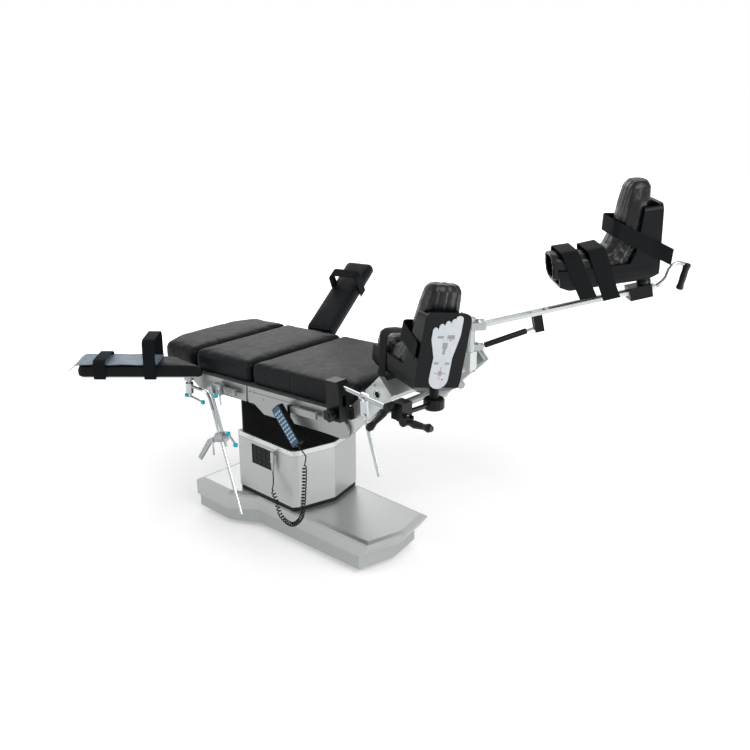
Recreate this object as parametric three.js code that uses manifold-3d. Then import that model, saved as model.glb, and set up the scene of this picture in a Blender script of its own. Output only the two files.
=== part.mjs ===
import * as THREE from 'three';
import Module from 'manifold-3d';
import { mergeVertices } from 'three/addons/utils/BufferGeometryUtils.js';

// Operating table with two arm boards and a leg traction set.
// Millimetres, Z up. X runs from the head end to the foot end, -Y is the near side.
// Sizes under "Floor frame" are measured from the column centre on the floor.
// Sizes under "Table frame" are measured from the tilt pivot, along the tilted table.

const wasm = await Module();
wasm.setup();

// Clearances
const gap = 0.3;
const mergeDistance = 1e-3;
const slack = 0.02;
const through = 5;

// Facets round a hub or bore, a bar, a bent rod and a small knob
const smooth = 14;
const plain = 12;
const medium = 10;
const coarse = 8;
const curveTension = 0.5;

// Row frame: centre of the whole part's footprint, measured from the column centre
const rowOrigin = { x: 277, y: 54 };

// Floor frame: base
const base = {
  headX: -395, blockX: -178, neckX: -59, footX: 569, apexX: 609,
  headHalf: 256, neckHalf: 189, footHalf: 179,
  topZ: 160, shoulderZ: 148, shoulderInset: 9, rimInset: 27, lowZ: 95, blockLowZ: 82,
  undercut: 38, wall: 4, roof: 14, crown: 5,
};
const plinth = {
  inset: 9, footBack: 51, footIn: 5, apexBack: 55, bottomZ: 27, wall: 5, deckZ: 100, deckThick: 6,
  well: 92,
};
const castor = {
  radius: 37.5, width: 30, tread: 3, bore: 6.3, pin: 6, hub: 20, hubProud: 2,
  cheek: 6, cheekGap: 1, cheekWide: 34, pinEnd: 3, sides: 16,
  headBack: 75, headIn: 60, footBack: 117, footIn: 61,
};

// Floor frame: column
const column = {
  headX: -174, sideX: 156, cornerX: 174, apexX: 215, half: 186, cornerHalf: 163,
  topZ: 428, wall: 4, sealHigh: 18.7, sealDeep: 3, bandHeight: 24, grooveDeep: 1.4,
  grooveHigh: 2.2, lip: 20, lipThick: 3,
};
const panel = { fromX: -88, toX: 46, fromZ: 306, toZ: 392, thick: 6, proud: 1, columns: 5, rows: 4,
  dimpleShare: 0.72, dimpleDeep: 1.5 };
const plug = { x: 59, z: 392, stubRadius: 9, stubLength: 15, bodyRadius: 8.5, bodyLength: 33,
  reliefLength: 42, reliefRadius: 5.2, collarRadius: 10, collarLength: 5, boltX: 71, boltRadius: 5,
  boltProud: 4, sink: 2 };
const bellows = { ribs: 15, topZ: 564, ribDeep: 6, inset: 5, wall: 4, round: 24,
  roundSteps: 2 };
const core = { half: 75, bottomZ: 90, topZ: 530, capThick: 12, keyHalf: 12, keyProud: 5 };

// Floor frame: tilt pivot
const pivot = { z: 600, restTilt: 3.5, pin: 12, pinHole: 12.4 };
const yoke = { cheekFrom: 58, cheekThick: 16, cheekHalf: 22, footHalfX: 74, footHalfY: 34, footThick: 12 };
const cross = { half: 42, halfHigh: 24, pinReach: 73.5 };
const cradle = { cheekFrom: 58, cheekThick: 16, round: 27, plateFrom: -44, plateTo: 260, plateHalf: 150,
  plateLow: 40, plateHigh: 52, railFrom: 95, railTo: 115, padHigh: 57.7, guideTo: 126, guideHigh: 70 };

// Table frame: seat
const sideFrame = { outer: 283, thick: 12, top: 99, jointU: 25, jointGap: 3, backLow: 32, stepU: 62,
  seatLow: -1, slantU: 117, earU: 541, earW: 33, earRadius: 38, earTopU: 511, earStart: 470,
  backChamfer: 10, headChamfer: 40, headU: -330, headLow: 58, screwDrop: 15, footScrewBack: 15,
  footScrewDrop: 20, slantScrewDrop: 40 };
const ear = { steps: 12, fromAngle: -90, turnAngle: 140 };
const headRib = { inset: 60, thick: 12 };
const deck = { thick: 25, fromU: 40, toU: 500, railLow: 58, railFromU: 45, railToU: 480 };
const axle = { radius: 14, hole: 14.4 };
const rail = { thick: 10, high: 25, standoff: 15, topW: 77, seatFrom: 290, seatTo: 439, backFrom: -152,
  backTo: -25, post: 7, postInset: 22, screw: 4.5, screwProud: 1.2 };
const groove = { fromU: 36, toU: 284, w: 80, high: 5, deep: 2.5 };
const screw = { radius: 5, proud: 1.4 };
const backDeck = { thick: 17 };
const hinge = { w: 96, radius: 6, pin: 3, bore: 3.2, low: 90, v: 190, knuckle: 23, outerLong: 22, clear: 1,
  reachSeat: 20, reachBack: 22, reachHead: 40 };

// Table frame: cushions
const cushionHigh = 84;
const cushionEdge = { halfWidth: 266, footU: 494, tongueU: 578, tongueHalf: 226, cornerRound: 24,
  roundSteps: 3, crown: 9, clear: 3, headU: -545, headTipU: -606, headSplitU: -333, headSlopeHalf: 150,
  longest: 180 };
const cushionRings = [
  { upShare: 0, inset: 9 }, { upShare: 0.12, inset: 1.5 }, { upShare: 0.45, inset: 0 },
  { upShare: 0.8, inset: 1.8 }, { upShare: 0.94, inset: 8 }, { upShare: 1, inset: 18 },
];
const crownRings = [
  { outShare: 0.8, upShare: 0.5 }, { outShare: 0.45, upShare: 0.9 },
];

// Table frame: leg riser
const riser = { angle: 42, length: 292, wide: 76, thick: 22, outer: 269, plateLong: 92, plateProud: 3,
  plateThick: 6, socket: 15, socketDeep: 9, socketFromEnd: 52, boltRadius: 3.5, boltAhead: 15,
  boltRise: 30, crossHigh: 60, crossThick: 44, crossBack: 38, footRadius: 38 };
// Places of the stub beam and of the tower, from the middle of the riser's cross beam
const stub = { ahead: 19, across: 60, rise: 23, radius: 13, length: 222, yaw: -37, cap: 14.5, capLong: 12,
  capEase: 3, hub: 26, hubHigh: 40, seatDrop: 32, pin: 8 };
const tower = { ahead: 19, across: 200, rise: 142, half: 20, drop: 32 };

// Table frame: side traction bar
const bar = { startU: 560, startV: -305, overCross: 5, yaw: 14, radius: 8, back: 26, beyond: 38, endDraw: 1 };
const barClamp = { fromU: 534, toU: 598, fromV: -338, toV: -286, fromW: 84, overBar: 22, slot: 8.3, notch: 16,
  slotUnder: 32, footFromU: 572, footToU: 600, bevel: 12 };
const knob = { radius: 25, thick: 20, lobes: 5, lobeSteps: 6, lobeDeep: 6, stem: 5, stemLong: 15, u: 566,
  w: 112, capRadius: 9, capProud: 3 };
const slider = { along: 175, radius: 16, long: 18, plateWide: 30, plateThick: 8, plateLong: 66,
  rodJoint: 9 };
const dropRod = { radius: 6, long: 206, lean: 15, head: 11, tip: 4.5 };
// Near carriage, its handles and its boot, from where the bar runs through the carriage
const carriage = { aheadOfCross: 216.4, blockLong: 46, blockWide: 48, blockLow: -13, blockHigh: 44, shaft: 8,
  postRadius: 35, postHigh: 36, postAhead: 13.3, postAside: 143.3, postDrop: 17.4, rib: 4, stud: 7.7,
  studLong: 9, bossRadius: 16, bossHigh: 72, crankBore: 6, crankReach: 20, lugAhead: 51.3, lugHalfHigh: 12 };
const handle = { long: 104, neck: 8, belly: 13, waist: 9.5, bulb: 14.5, draw: 3, neckShare: 0.08,
  bellyShare: 0.3, waistShare: 0.68, bulbShare: 0.88 };
const leftHandle = { ahead: -13.7, rise: 33.6, hub: 15, hubLong: 34, toAhead: -63.7, toAside: -84.7,
  toRise: -41.4 };
const rightHandle = { ahead: 40.3, rise: -3.4, ringRadius: 16, thick: 18, stud: 8, toAhead: 160.3,
  toAside: -38.7, toRise: 6.6 };

// Boots, measured from the heel: +X out of the sole, +Z toward the toes
const boot = {
  shin: 345, halfWide: 82, wall: 9, calfLow: -18, heelRound: 46, calfHigh: 66, ankleX: -88,
  ankleHigh: 58, footSideX: -66, footSideHigh: 92, toeSideX: -22, toeHigh: 256, soleX: 34, soleThick: 14,
  soleLean: 20, edgeRound: 30, floorThick: 10, kneeDrop: 26, roundSteps: 4, soleRoundSteps: 5,
};
const sole = { long: 254, toeHalf: 51, ballHalf: 50, waistHalf: 35, heelHalf: 34, thick: 3, liftZ: 2,
  heelSteps: 8, toeSteps: 5, waistShare: 0.42, ballShare: 0.72, ballDropShare: 0.06, waistInShare: 0.9 };
const toe = { lowShares: [0.97, 0.93, 0.9, 0.86, 0.81], wideShare: 0.94, longShare: 1.2, bigShare: 0.4,
  fromShare: 0.08, turnShare: 0.84 };
const liner = { sides: 12, wall: 11, deep: 70, squareShare: 0.62 };
// Each station's place and size as shares of the boot's shin, toe height, inside and the liner's depth
const linerShares = [
  { along: -1.049, up: 0.297, wide: 0.825, lean: 0, deep: 0.714 },
  { along: -1, up: 0.289, wide: 0.908, lean: 0, deep: 0.743 },
  { along: -0.87, up: 0.234, wide: 1, lean: 0, deep: 0.857 },
  { along: -0.551, up: 0.219, wide: 1, lean: 8, deep: 0.8 },
  { along: -0.371, up: 0.258, wide: 1, lean: 26, deep: 0.886 },
  { along: -0.267, up: 0.383, wide: 0.949, lean: 50, deep: 1 },
  { along: -0.197, up: 0.586, wide: 0.935, lean: 74, deep: 0.886 },
  { along: -0.151, up: 0.82, wide: 0.935, lean: 82, deep: 0.771 },
  { along: -0.11, up: 1.055, wide: 0.922, lean: 84, deep: 0.686 },
  { along: -0.075, up: 1.242, wide: 0.825, lean: 86, deep: 0.6 },
  { along: -0.064, up: 1.32, wide: 0.633, lean: 88, deep: 0.429 },
];
const strap = { thick: 3, wide: 52, clear: 0.4, round: 26, roundSteps: 3, tail: 8 };
const bootStraps = {
  knee: { alongShare: -0.87, upShare: 0.03, lean: 0, high: 122 },
  shin: { alongShare: -0.568, upShare: 0.03, lean: 4, high: 118 },
  foot: { alongShare: -0.075, upShare: 0.67, lean: 80, high: 112 },
};
const nearBoot = { rise: 52.6, yaw: -25, lift: 3, roll: -8 };
// Far boot, measured in the far beam's frame
const farBoot = { x: 634, z: 63.5, lift: -4, postX: 614, bossRadius: 22, bossTop: 54.5 };

// Far traction beam, from the tower's axis and from the beam's lift pin
const swivel = { radius: 20, top: 28, reach: 40, lugOuter: 30, lugRound: 14, pin: 7, strutLug: 6,
  spindle: 10 };
const beam = { yaw: 46.7, lift: 12, long: 655, railHigh: 12, railWide: 10, spread: 34, rootRound: 14,
  blockLong: 46, tie: 15, innerTie: 240, bearing: 6.6 };
const strut = { onBeam: 207, drop: 56, rootDrop: 85, bracketWide: 22, bracketLong: 34, bracketHigh: 64,
  eye: 11, eyeWide: 12, pin: 5, looseEye: 1.6, neck: 16, barrel: 11, barrelLong: 165, ease: 3, rod: 6,
  rodStart: 52 };
const farCarriage = { along: 592, long: 84, wide: 62, low: -28, high: 20, postRadius: 26, postHigh: 14,
  stud: 8, studHigh: 12 };
const farCrank = { screw: 6, screwFrom: 236, screwTo: 667, lap: 7, tube: 6, steps: 10, grip: 11, waist: 9,
  ball: 10, armLong: 118, armHigh: 68, gripBack: 36, gripDrop: 80 };
const crankArmShares = [[0, 0], [0.305, 0.324], [0.492, 0.853], [0.788, 1], [1, 0.735]];
const crankGripShares = { start: 0.08, belly: 0.34, bellyEnd: 0.6, neck: 0.8, bulb: 0.88, bulbEnd: 0.97 };

// Arm boards, measured from each swivel post: +X along the board
const board = { thick: 46, crown: 4, round: 20, baseThick: 4, baseInset: 10, roundSteps: 3 };
const nearArm = { z: 675, yaw: 223, lift: 0, fromX: 70, backX: -73, toX: 450, nearY: -117, farY: 33 };
const farArm = { x: -214, y: 336, z: 700, yaw: 107, lift: 28, fromX: 14, backX: 14, toX: 488, nearY: -70,
  farY: 70 };
const boardRings = [
  { upShare: 0, inset: 5 }, { upShare: 0.15, inset: 0.5 }, { upShare: 0.6, inset: 0 },
  { upShare: 0.88, inset: 3 }, { upShare: 1, inset: 11 },
];
const mount = { post: 9, postLong: 62, hub: 20, hubHigh: 16 };
const farMount = { u: -130, armThick: 14, armReach: 45, postHigh: 24, armZ: 640, knuckle: 16, lug: 8, pin: 6,
  fork: 12, linkInto: 40 };
const armStrap = { wide: 50, clear: 0.4, wristAlong: 356, forearmAlong: 150, loopHigh: 110,
  wristHigh: 23, farAlong: 330, farHigh: 60, tail: 20 };
const sheet = { thick: 3, lift: 0.4, droop: 30, fromX: 120, toX: 484, edgeX: 440, fromY: -114, toY: 30,
  waves: 3, wave: 1.2, steps: 12, across: 4 };

// Support rods under the near arm board, in the plane of the rail clamp's hanger
const railClamp = { u: -126, wide: 44, grip: 9, lip: 4, bossLong: 24, boss: 11, wall: 6 };
const rodPlane = { y: -326 };
const hanger = { radius: 6, topX: -154.7, topZ: 640, bottomZ: 425 };
const bentRod = { radius: 6.5, tip: 3, kneeX: -153, kneeZ: 567, bottomX: -1, bottomZ: 143, armZ: 633,
  steps: 8, socketX: -301, socketTop: 648, socketLow: 600, socketRadius: 17, wellDeep: 36, stemRadius: 7,
  leverRadius: 4.5, leverZ: 588, leverX: -216, leverEndZ: 581, ball: 9 };
const bendShares = [[0.324, 1], [0.682, 1], [0.851, 0.773]];
const jointClamp = { z: 457, radius: 21, fromX: -14, toX: 37, flatThick: 8, flatLong: 191, flatDrop: 89,
  handleReach: 89, handleDrop: 39, handleRadius: 4.5, rootRadius: 9, ball: 9 };
const flatShares = [[-0.052, 0.112], [-0.461, -0.045], [-1, -0.831], [-0.932, -1], [-0.419, -0.292],
  [-0.052, -0.157]];
const handleShares = [[0.416, 0], [0.685, 0.256], [1, -1]];

// Floor frame: hand pendant
const pendant = { x: 302, y: -326, z: 625, angle: 43, long: 168, wide: 52, thick: 22, round: 9,
  roundSteps: 3, columns: 3, rows: 9, keyWide: 9, keyHigh: 7, keyProud: 1.2, keyMarginShare: 0.1, collar: 6,
  collarLong: 12, hookWide: 12, hookThick: 3, hookBack: 12, hookDrop: 24, hookBlock: 18 };

// Curly cord: route points on the floor frame, from the plug's relief to the pendant's collar
const cord = { radius: 2.4, curls: 38, curlRadius: 7.6, curlSteps: 8, sides: 5, lead: 9 };
const cordRoute = {
  low: [[67, -207, 290], [75, -216, 266]],
  curled: [[75, -222, 246], [108, -232, 217], [147, -245, 168], [231, -262, 161], [310, -280, 226],
    [335, -290, 294], [354, -298, 396], [366, -304, 479]],
  high: [[376, -308, 504], [388, -318, 524]],
};

const finishes = {
  brushed: { color: 0xa9adac, roughness: 0.36, metalness: 0.9 },
  bright: { color: 0xd5d9da, roughness: 0.2, metalness: 1 },
  blackPaint: { color: 0x121416, roughness: 0.4, metalness: 0.2 },
  blackPlastic: { color: 0x17191b, roughness: 0.5, metalness: 0 },
  rubber: { color: 0x101112, roughness: 0.8, metalness: 0 },
  vinyl: { color: 0x14181b, roughness: 0.45, metalness: 0 },
  webbing: { color: 0x101214, roughness: 0.95, metalness: 0 },
  white: { color: 0xe4e9ec, roughness: 0.4, metalness: 0 },
  blue: { color: 0x3f6a8c, roughness: 0.5, metalness: 0 },
  cloth: { color: 0x9db2c2, roughness: 0.9, metalness: 0 },
  steel: { color: 0x8d9294, roughness: 0.5, metalness: 0.8 },
};

// Shared geometry helpers
const half = (value) => value / 2;
const radians = (degrees) => THREE.MathUtils.degToRad(degrees);

function solid(geometry) {
  const bare = new THREE.BufferGeometry();
  bare.setAttribute('position', geometry.getAttribute('position').clone());
  if (geometry.index) bare.setIndex(geometry.index.clone());
  const merged = mergeVertices(bare, mergeDistance);
  const corners = merged.index.array;
  const kept = [];
  for (let i = 0; i < corners.length; i += 3) {
    const [a, b, c] = [corners[i], corners[i + 1], corners[i + 2]];
    if (a !== b && b !== c && c !== a) kept.push(a, b, c);
  }
  return new wasm.Manifold(new wasm.Mesh({
    numProp: 3,
    vertProperties: new Float32Array(merged.attributes.position.array),
    triVerts: new Uint32Array(kept),
  }));
}

function join(...bodies) {
  return bodies.flat().reduce((whole, body) => whole.add(body));
}

function cut(whole, ...bodies) {
  return bodies.flat().reduce((rest, body) => rest.subtract(body), whole);
}

function surface(body) {
  const mesh = body.simplify(slack).getMesh();
  const geometry = new THREE.BufferGeometry();
  geometry.setAttribute('position', new THREE.BufferAttribute(new Float32Array(mesh.vertProperties), 3));
  geometry.setIndex(new THREE.BufferAttribute(new Uint32Array(mesh.triVerts), 1));
  geometry.computeVertexNormals();
  return geometry;
}

function put(parent, name, body, finish) {
  const mesh = new THREE.Mesh(surface(body), new THREE.MeshStandardMaterial(finish));
  mesh.name = name;
  parent.add(mesh);
}

// A box between two opposite corners
function span(x0, x1, y0, y1, z0, z1) {
  const box = new THREE.BoxGeometry(x1 - x0, y1 - y0, z1 - z0);
  box.translate(half(x0 + x1), half(y0 + y1), half(z0 + z1));
  return solid(box);
}

function shapeOf(points) {
  return new THREE.Shape(points.map(([x, y]) => new THREE.Vector2(x, y)));
}

// An outline in X and Y, raised from z0 to z1
function raised(points, z0, z1) {
  const geometry = new THREE.ExtrudeGeometry(shapeOf(points), { depth: z1 - z0, bevelEnabled: false });
  geometry.translate(0, 0, z0);
  return solid(geometry);
}

// An outline in X and Z, filled from y0 to y1
function upright(points, y0, y1) {
  const geometry = new THREE.ExtrudeGeometry(shapeOf(points), { depth: y1 - y0, bevelEnabled: false });
  geometry.rotateX(Math.PI / 2);
  geometry.translate(0, y1, 0);
  return solid(geometry);
}

// An outline in Y and Z, filled from x0 to x1
function crosswise(points, x0, x1) {
  const geometry = new THREE.ExtrudeGeometry(shapeOf(points), { depth: x1 - x0, bevelEnabled: false });
  geometry.rotateX(Math.PI / 2);
  geometry.rotateZ(Math.PI / 2);
  geometry.translate(x0, 0, 0);
  return solid(geometry);
}

function aim(geometry, from, to) {
  const start = new THREE.Vector3(...from);
  const along = new THREE.Vector3(...to).sub(start).normalize();
  const turn = new THREE.Quaternion().setFromUnitVectors(new THREE.Vector3(0, 1, 0), along);
  geometry.applyQuaternion(turn);
  geometry.translate(start.x, start.y, start.z);
  return geometry;
}

// A turned piece: profile of [radius, distance] pairs from one point toward another
function turned(profile, from, to, sides) {
  const points = profile.map(([radius, distance]) => new THREE.Vector2(radius, distance));
  return solid(aim(new THREE.LatheGeometry(points, sides), from, to));
}

function lengthBetween(from, to) {
  return new THREE.Vector3(...from).distanceTo(new THREE.Vector3(...to));
}

function rod(from, to, radius, sides) {
  const long = lengthBetween(from, to);
  return turned([[0, 0], [radius, 0], [radius, long], [0, long]], from, to, sides);
}

// A rod whose two ends are drawn in
function pin(from, to, radius, ease, sides) {
  const long = lengthBetween(from, to);
  const profile = [[0, 0], [radius - ease, 0], [radius, ease], [radius, long - ease],
    [radius - ease, long], [0, long]];
  return turned(profile, from, to, sides);
}

function ball(centre, radius, sides) {
  const geometry = new THREE.SphereGeometry(radius, sides, half(sides));
  geometry.translate(...centre);
  return solid(geometry);
}

// A round bar along a curve through points
function tube(points, radius, sides, steps) {
  const path = new THREE.CatmullRomCurve3(points.map((p) => new THREE.Vector3(...p)), false,
    'catmullrom', curveTension);
  const ring = [];
  for (let i = 0; i < sides; i += 1) {
    const angle = 2 * Math.PI * i / sides;
    ring.push([radius * Math.cos(angle), radius * Math.sin(angle)]);
  }
  const settings = { extrudePath: path, steps, bevelEnabled: false };
  const geometry = new THREE.ExtrudeGeometry(shapeOf(ring), settings);
  return solid(geometry);
}

// A skin over rings of points, closed at both ends
function loft(rings) {
  const count = rings[0].length;
  const corners = rings.flat().flatMap((p) => [p.x, p.y, p.z]);
  const faces = [];
  for (let r = 0; r + 1 < rings.length; r += 1) {
    for (let i = 0; i < count; i += 1) {
      const a = r * count + i;
      const b = r * count + (i + 1) % count;
      faces.push(a, b, b + count, a, b + count, a + count);
    }
  }
  const addCap = (ring, start, flip) => {
    const centre = corners.length / 3;
    const middle = ring.reduce((sum, p) => sum.add(p), new THREE.Vector3()).divideScalar(count);
    corners.push(middle.x, middle.y, middle.z);
    for (let i = 0; i < count; i += 1) {
      const [a, b] = [start + i, start + (i + 1) % count];
      faces.push(...(flip ? [centre, b, a] : [centre, a, b]));
    }
  };
  addCap(rings[0], 0, true);
  addCap(rings.at(-1), (rings.length - 1) * count, false);
  const geometry = new THREE.BufferGeometry();
  geometry.setAttribute('position', new THREE.Float32BufferAttribute(corners, 3));
  geometry.setIndex(faces);
  const body = solid(geometry);
  return body.volume() < 0 ? solid(flipped(geometry)) : body;
}

function flipped(geometry) {
  const index = geometry.index.array;
  for (let i = 0; i < index.length; i += 3) [index[i], index[i + 1]] = [index[i + 1], index[i]];
  return geometry;
}

// Moves each corner of an outline toward its inside by the same distance from both edges
function inset(points, distance) {
  const count = points.length;
  return points.map((point, i) => {
    const here = new THREE.Vector2(...point);
    const before = new THREE.Vector2(...points[(i + count - 1) % count]);
    const after = new THREE.Vector2(...points[(i + 1) % count]);
    const inEdge = here.clone().sub(before).normalize();
    const outEdge = after.sub(here).normalize();
    const inward = new THREE.Vector2(-inEdge.y - outEdge.y, inEdge.x + outEdge.x);
    const reach = 2 / inward.lengthSq();
    return [here.x + distance * reach * inward.x, here.y + distance * reach * inward.y];
  });
}

// Rounds each corner of an outline; the corners run anticlockwise
function rounded(points, radius, steps) {
  const count = points.length;
  return points.flatMap((point, i) => {
    const here = new THREE.Vector2(...point);
    const before = new THREE.Vector2(...points[(i + count - 1) % count]).sub(here);
    const after = new THREE.Vector2(...points[(i + 1) % count]).sub(here);
    const reach = Math.min(radius, half(before.length()), half(after.length()));
    const start = before.setLength(reach).add(here);
    const end = after.setLength(reach).add(here);
    const curve = new THREE.QuadraticBezierCurve(start, here, end);
    return curve.getPoints(steps).map((p) => [p.x, p.y]);
  });
}

function mirrored(points) {
  return points.slice().reverse().filter(([, y]) => y !== 0).map(([x, y]) => [x, -y]);
}

// Adds points along the long edges of an outline
function divided(points, longest) {
  return points.flatMap((point, i) => {
    const next = points[(i + 1) % points.length];
    const parts = Math.max(1, Math.round(Math.hypot(next[0] - point[0], next[1] - point[1]) / longest));
    return Array.from({ length: parts }, (_, k) => [
      point[0] + (next[0] - point[0]) * k / parts,
      point[1] + (next[1] - point[1]) * k / parts,
    ]);
  });
}

function level(points, z) {
  return points.map(([x, y]) => new THREE.Vector3(x, y, z));
}

function frameAt(x, y, z, yaw, lift, roll) {
  const frame = new THREE.Group();
  frame.position.set(x, y, z);
  frame.rotation.set(radians(roll), -radians(lift), radians(yaw), 'ZYX');
  return frame;
}

// Base
function baseOutline(shrink) {
  const side = [[base.headX, -base.headHalf], [base.blockX, -base.headHalf], [base.neckX, -base.neckHalf],
    [base.footX, -base.footHalf], [base.apexX, 0]];
  return inset([...side, ...mirrored(side)], shrink);
}

function plinthOutline(shrink) {
  const side = [[base.headX, -base.headHalf], [base.blockX, -base.headHalf], [base.neckX, -base.neckHalf],
    [base.footX - plinth.footBack, plinth.footIn - base.footHalf], [base.apexX - plinth.apexBack, 0]];
  return inset([...side, ...mirrored(side)], plinth.inset + shrink);
}

function baseCover() {
  const under = baseOutline(0).map(([x, y]) => {
    const foot = x > base.neckX;
    return new THREE.Vector3(foot ? x - base.undercut : x, y, x <= base.blockX ? base.blockLowZ : base.lowZ);
  });
  const skin = loft([under, level(baseOutline(0), base.shoulderZ),
    level(baseOutline(base.shoulderInset), base.topZ - base.crown),
    level(baseOutline(base.rimInset), base.topZ)]);
  const inner = baseOutline(base.wall).map(([x, y]) => [x > base.neckX ? x - base.undercut : x, y]);
  const hollow = raised(inner, base.blockLowZ - through, base.topZ - base.roof);
  const opening = span(-plinth.well, plinth.well, -plinth.well, plinth.well, 0, base.topZ + through);
  return cut(skin, hollow, opening);
}

function castorPlaces() {
  return [-1, 1].flatMap((side) => [
    [base.headX + castor.headBack, side * (base.headHalf - castor.headIn)],
    [base.footX - castor.footBack, side * (base.footHalf - castor.footIn)]]);
}

function castorFork(x, y) {
  const inside = half(castor.width) + castor.hubProud + castor.cheekGap;
  const cheeks = [-1, 1].map((side) => {
    const near = y + side * inside;
    const far = y + side * (inside + castor.cheek);
    return span(x - half(castor.cheekWide), x + half(castor.cheekWide), Math.min(near, far),
      Math.max(near, far), castor.radius - half(castor.cheekWide), plinth.deckZ + plinth.deckThick);
  });
  const reach = inside + castor.cheek + castor.pinEnd;
  const axleBar = rod([x, y - reach, castor.radius], [x, y + reach, castor.radius], castor.pin, plain);
  return [...cheeks, axleBar];
}

function basePlinth() {
  const skirt = raised(plinthOutline(0), plinth.bottomZ, base.topZ - base.roof - gap);
  const lower = raised(plinthOutline(plinth.wall), 0, plinth.deckZ);
  const upper = raised(plinthOutline(plinth.wall), plinth.deckZ + plinth.deckThick, base.topZ);
  const well = span(-plinth.well, plinth.well, -plinth.well, plinth.well, 0, base.topZ);
  return join(cut(skirt, lower, upper, well), castorPlaces().flatMap(([x, y]) => castorFork(x, y)));
}

function castorWheel(x, y) {
  const across = half(castor.width);
  const side = [[castor.bore, -across - castor.hubProud], [castor.hub, -across - castor.hubProud],
    [castor.radius - castor.tread, -across], [castor.radius, castor.tread - across]];
  const profile = [...side, ...mirrored(side), side[0]];
  return turned(profile, [x, y, castor.radius], [x, y + castor.width, castor.radius], castor.sides);
}

// Column
function columnOutline(shrink) {
  const side = [[column.headX, -column.half], [column.sideX, -column.half],
    [column.cornerX, -column.cornerHalf], [column.apexX, 0]];
  return inset([...side, ...mirrored(side)], shrink);
}

function panelBox(grow) {
  return span(panel.fromX - grow, panel.toX + grow, -column.half - panel.proud - grow,
    -column.half - panel.proud + panel.thick + grow, panel.fromZ - grow, panel.toZ + grow);
}

function columnCover() {
  const bottom = base.topZ + gap;
  const skin = raised(columnOutline(0), bottom, column.topZ);
  const hollow = raised(columnOutline(column.wall), 0, column.topZ + through);
  const bandLow = column.topZ - column.bandHeight;
  const ring = cut(raised(columnOutline(-through), bandLow, bandLow + column.grooveHigh),
    raised(columnOutline(column.grooveDeep), 0, column.topZ));
  const strip = cut(raised(columnOutline(-through), 0, bottom + column.sealHigh),
    raised(columnOutline(column.sealDeep), 0, column.topZ));
  const lip = cut(raised(columnOutline(half(column.wall)), column.topZ - column.lipThick, column.topZ),
    raised(columnOutline(column.lip), 0, column.topZ + through));
  return join(cut(skin, hollow, ring, strip, panelBox(gap)), lip);
}

function socketPanel() {
  const face = -column.half - panel.proud;
  const [stepX, stepZ] = [(panel.toX - panel.fromX) / panel.columns, (panel.toZ - panel.fromZ) / panel.rows];
  const dimples = [];
  for (let i = 0; i < panel.columns; i += 1) {
    for (let k = 0; k < panel.rows; k += 1) {
      const x = panel.fromX + stepX * (i + half(1));
      const z = panel.fromZ + stepZ * (k + half(1));
      const [wide, high] = [half(stepX * panel.dimpleShare), half(stepZ * panel.dimpleShare)];
      dimples.push(span(x - wide, x + wide, face - through, face + panel.dimpleDeep, z - high, z + high));
    }
  }
  return cut(panelBox(0), dimples);
}

function cordPlug() {
  const face = -column.half - gap;
  const away = face - plug.stubLength;
  const low = plug.z - plug.bodyLength;
  const body = join(
    rod([plug.x, face, plug.z], [plug.x, away - plug.sink, plug.z], plug.stubRadius, smooth),
    pin([plug.x, away, plug.z + plug.collarRadius], [plug.x, away, low], plug.bodyRadius, plug.sink, smooth),
    rod([plug.x, away, low + plug.collarLength], [plug.x, away, low], plug.collarRadius, smooth),
    turned([[0, 0], [plug.bodyRadius, 0], [plug.reliefRadius, plug.reliefLength], [0, plug.reliefLength]],
      [plug.x, away, low + plug.sink], [plug.x, away, 0], plain),
  );
  const bolt = rod([plug.boltX, face, plug.z], [plug.boltX, face - plug.boltProud, plug.z], plug.boltRadius,
    coarse);
  return join(body, bolt, span(plug.x, plug.boltX, face - plug.sink, face, plug.z - plug.sink,
    plug.z + plug.sink));
}

function bellowsSleeve() {
  const outline = (deep) => rounded(columnOutline(bellows.inset + deep), bellows.round, bellows.roundSteps);
  const bottom = column.topZ + gap;
  const pitch = (bellows.topZ - bottom) / bellows.ribs;
  const rings = [];
  for (let i = 0; i < bellows.ribs; i += 1) {
    const low = bottom + pitch * i;
    rings.push(level(outline(bellows.ribDeep), low), level(outline(0), low + half(pitch)));
  }
  rings.push(level(outline(bellows.ribDeep), bellows.topZ));
  return cut(loft(rings), raised(outline(bellows.ribDeep + bellows.wall), 0, bellows.topZ + through));
}

function liftCore() {
  const shaft = span(-core.half, core.half, -core.half, core.half, core.bottomZ, core.topZ);
  const out = core.half + core.keyProud;
  const keys = [
    span(-out, out, -core.keyHalf, core.keyHalf, core.bottomZ, core.topZ),
    span(-core.keyHalf, core.keyHalf, -out, out, core.bottomZ, core.topZ),
  ];
  const inside = bellows.inset + bellows.ribDeep + bellows.wall + gap;
  const cap = raised(rounded(columnOutline(inside), bellows.round, bellows.roundSteps), core.topZ,
    core.topZ + core.capThick);
  return join(shaft, keys, cap);
}

// Tilt joint
function discPoints(u, w, radius, sides) {
  return Array.from({ length: sides }, (_, i) => [
    u + radius * Math.cos(2 * Math.PI * i / sides),
    w + radius * Math.sin(2 * Math.PI * i / sides),
  ]);
}

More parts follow.
